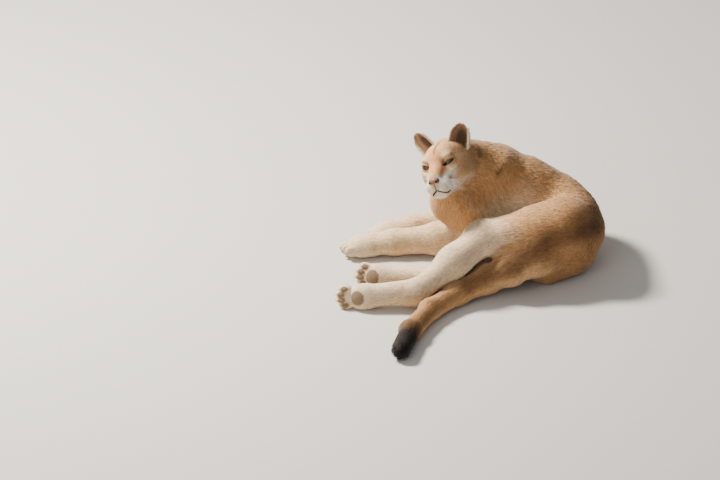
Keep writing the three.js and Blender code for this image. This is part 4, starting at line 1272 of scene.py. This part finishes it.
def coat_finish(name, rough, grain, fineness, bump=0.0, sheen=0.0, coat=0.0, specular=0.35):
    material = plain_finish(name, {
        "Roughness": rough, "Specular IOR Level": specular, "Sheen Weight": sheen, "Coat Weight": coat,
        "Coat Roughness": 0.03})
    tree = material.node_tree
    shader = tree.nodes["Principled BSDF"]
    colour = node(tree, "ShaderNodeAttribute", attribute_name="coat")
    group = node(tree, "ShaderNodeGroup", node_tree=GRAIN)
    group.inputs["Grain"].default_value = grain
    group.inputs["Fineness"].default_value = fineness
    tree.links.new(colour.outputs["Color"], group.inputs["Coat"])
    tree.links.new(group.outputs["Color"], shader.inputs["Base Color"])
    if bump:
        raised = node(tree, "ShaderNodeBump", {"Distance": bump})
        tree.links.new(group.outputs["Height"], raised.inputs["Height"])
        tree.links.new(raised.outputs["Normal"], shader.inputs["Normal"])
    return material


SKIN_FINISH = coat_finish("coat_skin", 0.85, 0.5, 260, bump=0.0012, specular=0.2)
FUR_FINISH = coat_finish("fur", 0.70, 0.35, 420, sheen=0.15, specular=0.25)
EYE_FINISH = coat_finish("eye", 0.16, 0.0, 100, coat=0.25, specular=0.45)
NOSE_FINISH = coat_finish("nose_leather", 0.42, 0.35, 900, bump=0.0005, specular=0.5)
coats = [made for made, _ in fur] + ear_fur
for pieces, finish in (([skin, *ears], SKIN_FINISH), (coats, FUR_FINISH), (eyes, EYE_FINISH),
                       ([nose], NOSE_FINISH)):
    for made in pieces:
        made.data.materials.append(finish)
    print(finish.name, "on", len(pieces), "pieces")

# %% [markdown]
# ## Whiskers
# Long stiff white hairs stand in four rows on each whisker pad, and a few above each eye. They are alike but
# for length and tilt. A loop could build each one, but a small tree of geometry nodes that stands a fine
# cone on each root is shorter, and its length can be changed at one socket.

# %% Whiskers by geometry nodes
def whisker_rows():
    tree = bpy.data.node_groups.new("whisker_rows", "GeometryNodeTree")
    add_sockets(tree, "INPUT", ("Roots", "Geometry"), ("Length", "Float", 0.055),
                ("Thickness", "Float", 0.00028), ("Seed", "Int", 5), ("Finish", "Material"))
    add_sockets(tree, "OUTPUT", ("Whiskers", "Geometry"))
    given, made = node(tree, "NodeGroupInput"), node(tree, "NodeGroupOutput")
    hair = node(tree, "GeometryNodeMeshCone", {"Vertices": 5, "Side Segments": 4, "Radius Top": 0.00004})
    way = node(tree, "GeometryNodeInputNamedAttribute", data_type="FLOAT_VECTOR")
    way.inputs["Name"].default_value = "way"
    stand = node(tree, "FunctionNodeAlignRotationToVector", axis="Z")
    size = node(tree, "FunctionNodeRandomValue", data_type="FLOAT")
    least, most = [socket for socket in size.inputs if socket.type == "VALUE" and socket.enabled][:2]
    least.default_value, most.default_value = 0.6, 1.0
    put = node(tree, "GeometryNodeInstanceOnPoints")
    real = node(tree, "GeometryNodeRealizeInstances")
    finish = node(tree, "GeometryNodeSetMaterial")
    scale = next(socket for socket in size.outputs if socket.enabled)
    wire(tree, (given, "Thickness", hair, "Radius Bottom"), (given, "Length", hair, "Depth"),
         (way, "Attribute", stand, "Vector"), (given, "Seed", size, "Seed"), (given, "Roots", put, "Points"),
         (hair, "Mesh", put, "Instance"), (stand, "Rotation", put, "Rotation"),
         (put, "Instances", real, "Geometry"), (real, "Geometry", finish, "Geometry"),
         (given, "Finish", finish, "Material"), (finish, "Geometry", made, 0))
    tree.links.new(scale, put.inputs["Scale"])
    return tree


# %% Where the whiskers stand
WHISKER_LENGTH = 0.052
PAD_ROWS, PAD_COLUMNS, BROW_HAIRS = 4, 4, 3
roots, ways = [], []
for s in SIDES:
    for row in range(PAD_ROWS):
        for k in range(PAD_COLUMNS):
            roots.append(on_head(10.9 - 0.75 * k - 0.15 * row, s * (2.4 + 0.35 * k), -3.2 - 0.55 * row))
            ways.append(turn(0.5 - 0.28 * k, s, -0.42 - 0.10 * row))
    for k in range(BROW_HAIRS):
        roots.append(on_head(6.2, s * (2.6 + 0.5 * k), 3.4))
        ways.append(turn(0.5, 0.35 * s * (k + 1), 0.8))
roots = onto(under_coat, np.array(roots), 10, 0.01)
root_mesh = bpy.data.meshes.new("whiskers")
root_mesh.from_pydata([tuple(c) for c in roots + SHIFT], [], [])
root_way = root_mesh.attributes.new("way", "FLOAT_VECTOR", "POINT")
root_way.data.foreach_set("vector", unit(np.array(ways)).ravel())
stalks = add_object("whisker_roots", root_mesh)
grown = stalks.modifiers.new("whiskers", "NODES")
grown.node_group = whisker_rows()
set_values = {"Length": WHISKER_LENGTH,
              "Finish": plain_finish("whisker", {"Base Color": (0.85, 0.83, 0.78, 1), "Roughness": 0.4})}
for item in grown.node_group.interface.items_tree:
    if item.in_out == "INPUT" and item.name in set_values:
        grown[item.identifier] = set_values[item.name]
graph = bpy.context.evaluated_depsgraph_get()
whiskers = add_object("whiskers", bpy.data.meshes.new_from_object(stalks.evaluated_get(graph)))
bpy.data.objects.remove(stalks)
print("whiskers:", len(roots), "with", len(whiskers.data.polygons), "faces")

# %% [markdown]
# ## Stand the pieces in the frame
# Every piece moves with the one body, and each takes the place of the plain solids it was made from.

# %% Ride and replace
FLESH = ["head", "neck", "chest", "loin", "rump", "tail_root", "tail_middle", "tail_tip"]
for piece in ("forepaw", "forearm", "shoulder", "hind_paw", "hind_foot", "shank", "thigh"):
    FLESH += [piece + "_left", piece + "_right"]
WORN = [(skin, FLESH, "coat"), *[(made, [], slot) for made, slot in fur]]
for k, hand in enumerate(("left", "right")):
    WORN += [(ears[k], ["ear_" + hand], "face_fur"), (ear_fur[k], [], "face_fur"),
             (eyes[k], ["eye_" + hand], "eye")]
for made, solids, slot in [*WORN, (whiskers, [], None), (nose, ["nose"], "nose")]:
    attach(made, "root")
    if solids:
        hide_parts(*solids)

# %% [markdown]
# ## Floor, light and camera
# A plain pale floor shows the whole outline and the shadow. A coloured set would tint the coat. A soft key
# light from the upper left and behind, as in the photo, rims the back, and a fill opens the near side. The
# camera stands well back, as for a long lens, and looks down at the animal at 27 degrees.

# %% Stage
FLOOR_HALF = 12
floor_mesh = bpy.data.meshes.new("floor")
floor_mesh.from_pydata([(-FLOOR_HALF, -FLOOR_HALF, 0), (FLOOR_HALF, -FLOOR_HALF, 0),
                        (FLOOR_HALF, FLOOR_HALF, 0), (-FLOOR_HALF, FLOOR_HALF, 0)], [], [(0, 1, 2, 3)])
floor_mesh.materials.append(plain_finish("floor", {"Base Color": (0.62, 0.60, 0.57, 1), "Roughness": 0.9}))
add_object("floor", floor_mesh)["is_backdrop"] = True


def turned_to(made, at, way):
    made.location = at
    made.rotation_mode = "QUATERNION"
    made.rotation_quaternion = way.to_track_quat("-Z", "Y")


def area_light(name, at, size, power, colour):
    lamp = bpy.data.lights.new(name, "AREA")
    lamp.size, lamp.energy, lamp.color = size, power, colour
    turned_to(add_object(name, lamp), at, Vector((0, 0, 0.1)) - Vector(at))


area_light("key", (-2.3, 0.9, 2.9), 0.7, 430, (1.0, 0.95, 0.86))
area_light("fill", (-1.6, -3.6, 2.0), 3.0, 70, (1.0, 0.98, 0.95))
world = bpy.data.worlds.new("soft_room")
world.use_nodes = True
world.node_tree.nodes["Background"].inputs["Color"].default_value = (1.0, 0.98, 0.95, 1)
world.node_tree.nodes["Background"].inputs["Strength"].default_value = 0.36
bpy.context.scene.world = world

# %% Camera
VIEW_WIDTH, CAMERA_FAR, CAMERA_DOWN, SENSOR = 1.946, 40.0, math.radians(27), 36
aim = Vector((-0.2973 + SHIFT[0], 0.238 + SHIFT[1], 0.0))
back = Vector((0, -math.cos(CAMERA_DOWN), math.sin(CAMERA_DOWN)))
camera_data = bpy.data.cameras.new("camera")
camera_data.sensor_width = SENSOR
camera_data.lens = SENSOR * CAMERA_FAR / VIEW_WIDTH
camera_data.clip_end = 3 * CAMERA_FAR
camera = add_object("camera", camera_data)
turned_to(camera, aim + back * CAMERA_FAR, -back)
bpy.context.scene.camera = camera

# %% Finish
DRESSED_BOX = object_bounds()
for name, box in (("cad box", CAD_BOX), ("dressed box", DRESSED_BOX)):
    print(name, [tuple(round(v, 3) for v in c) for c in box])
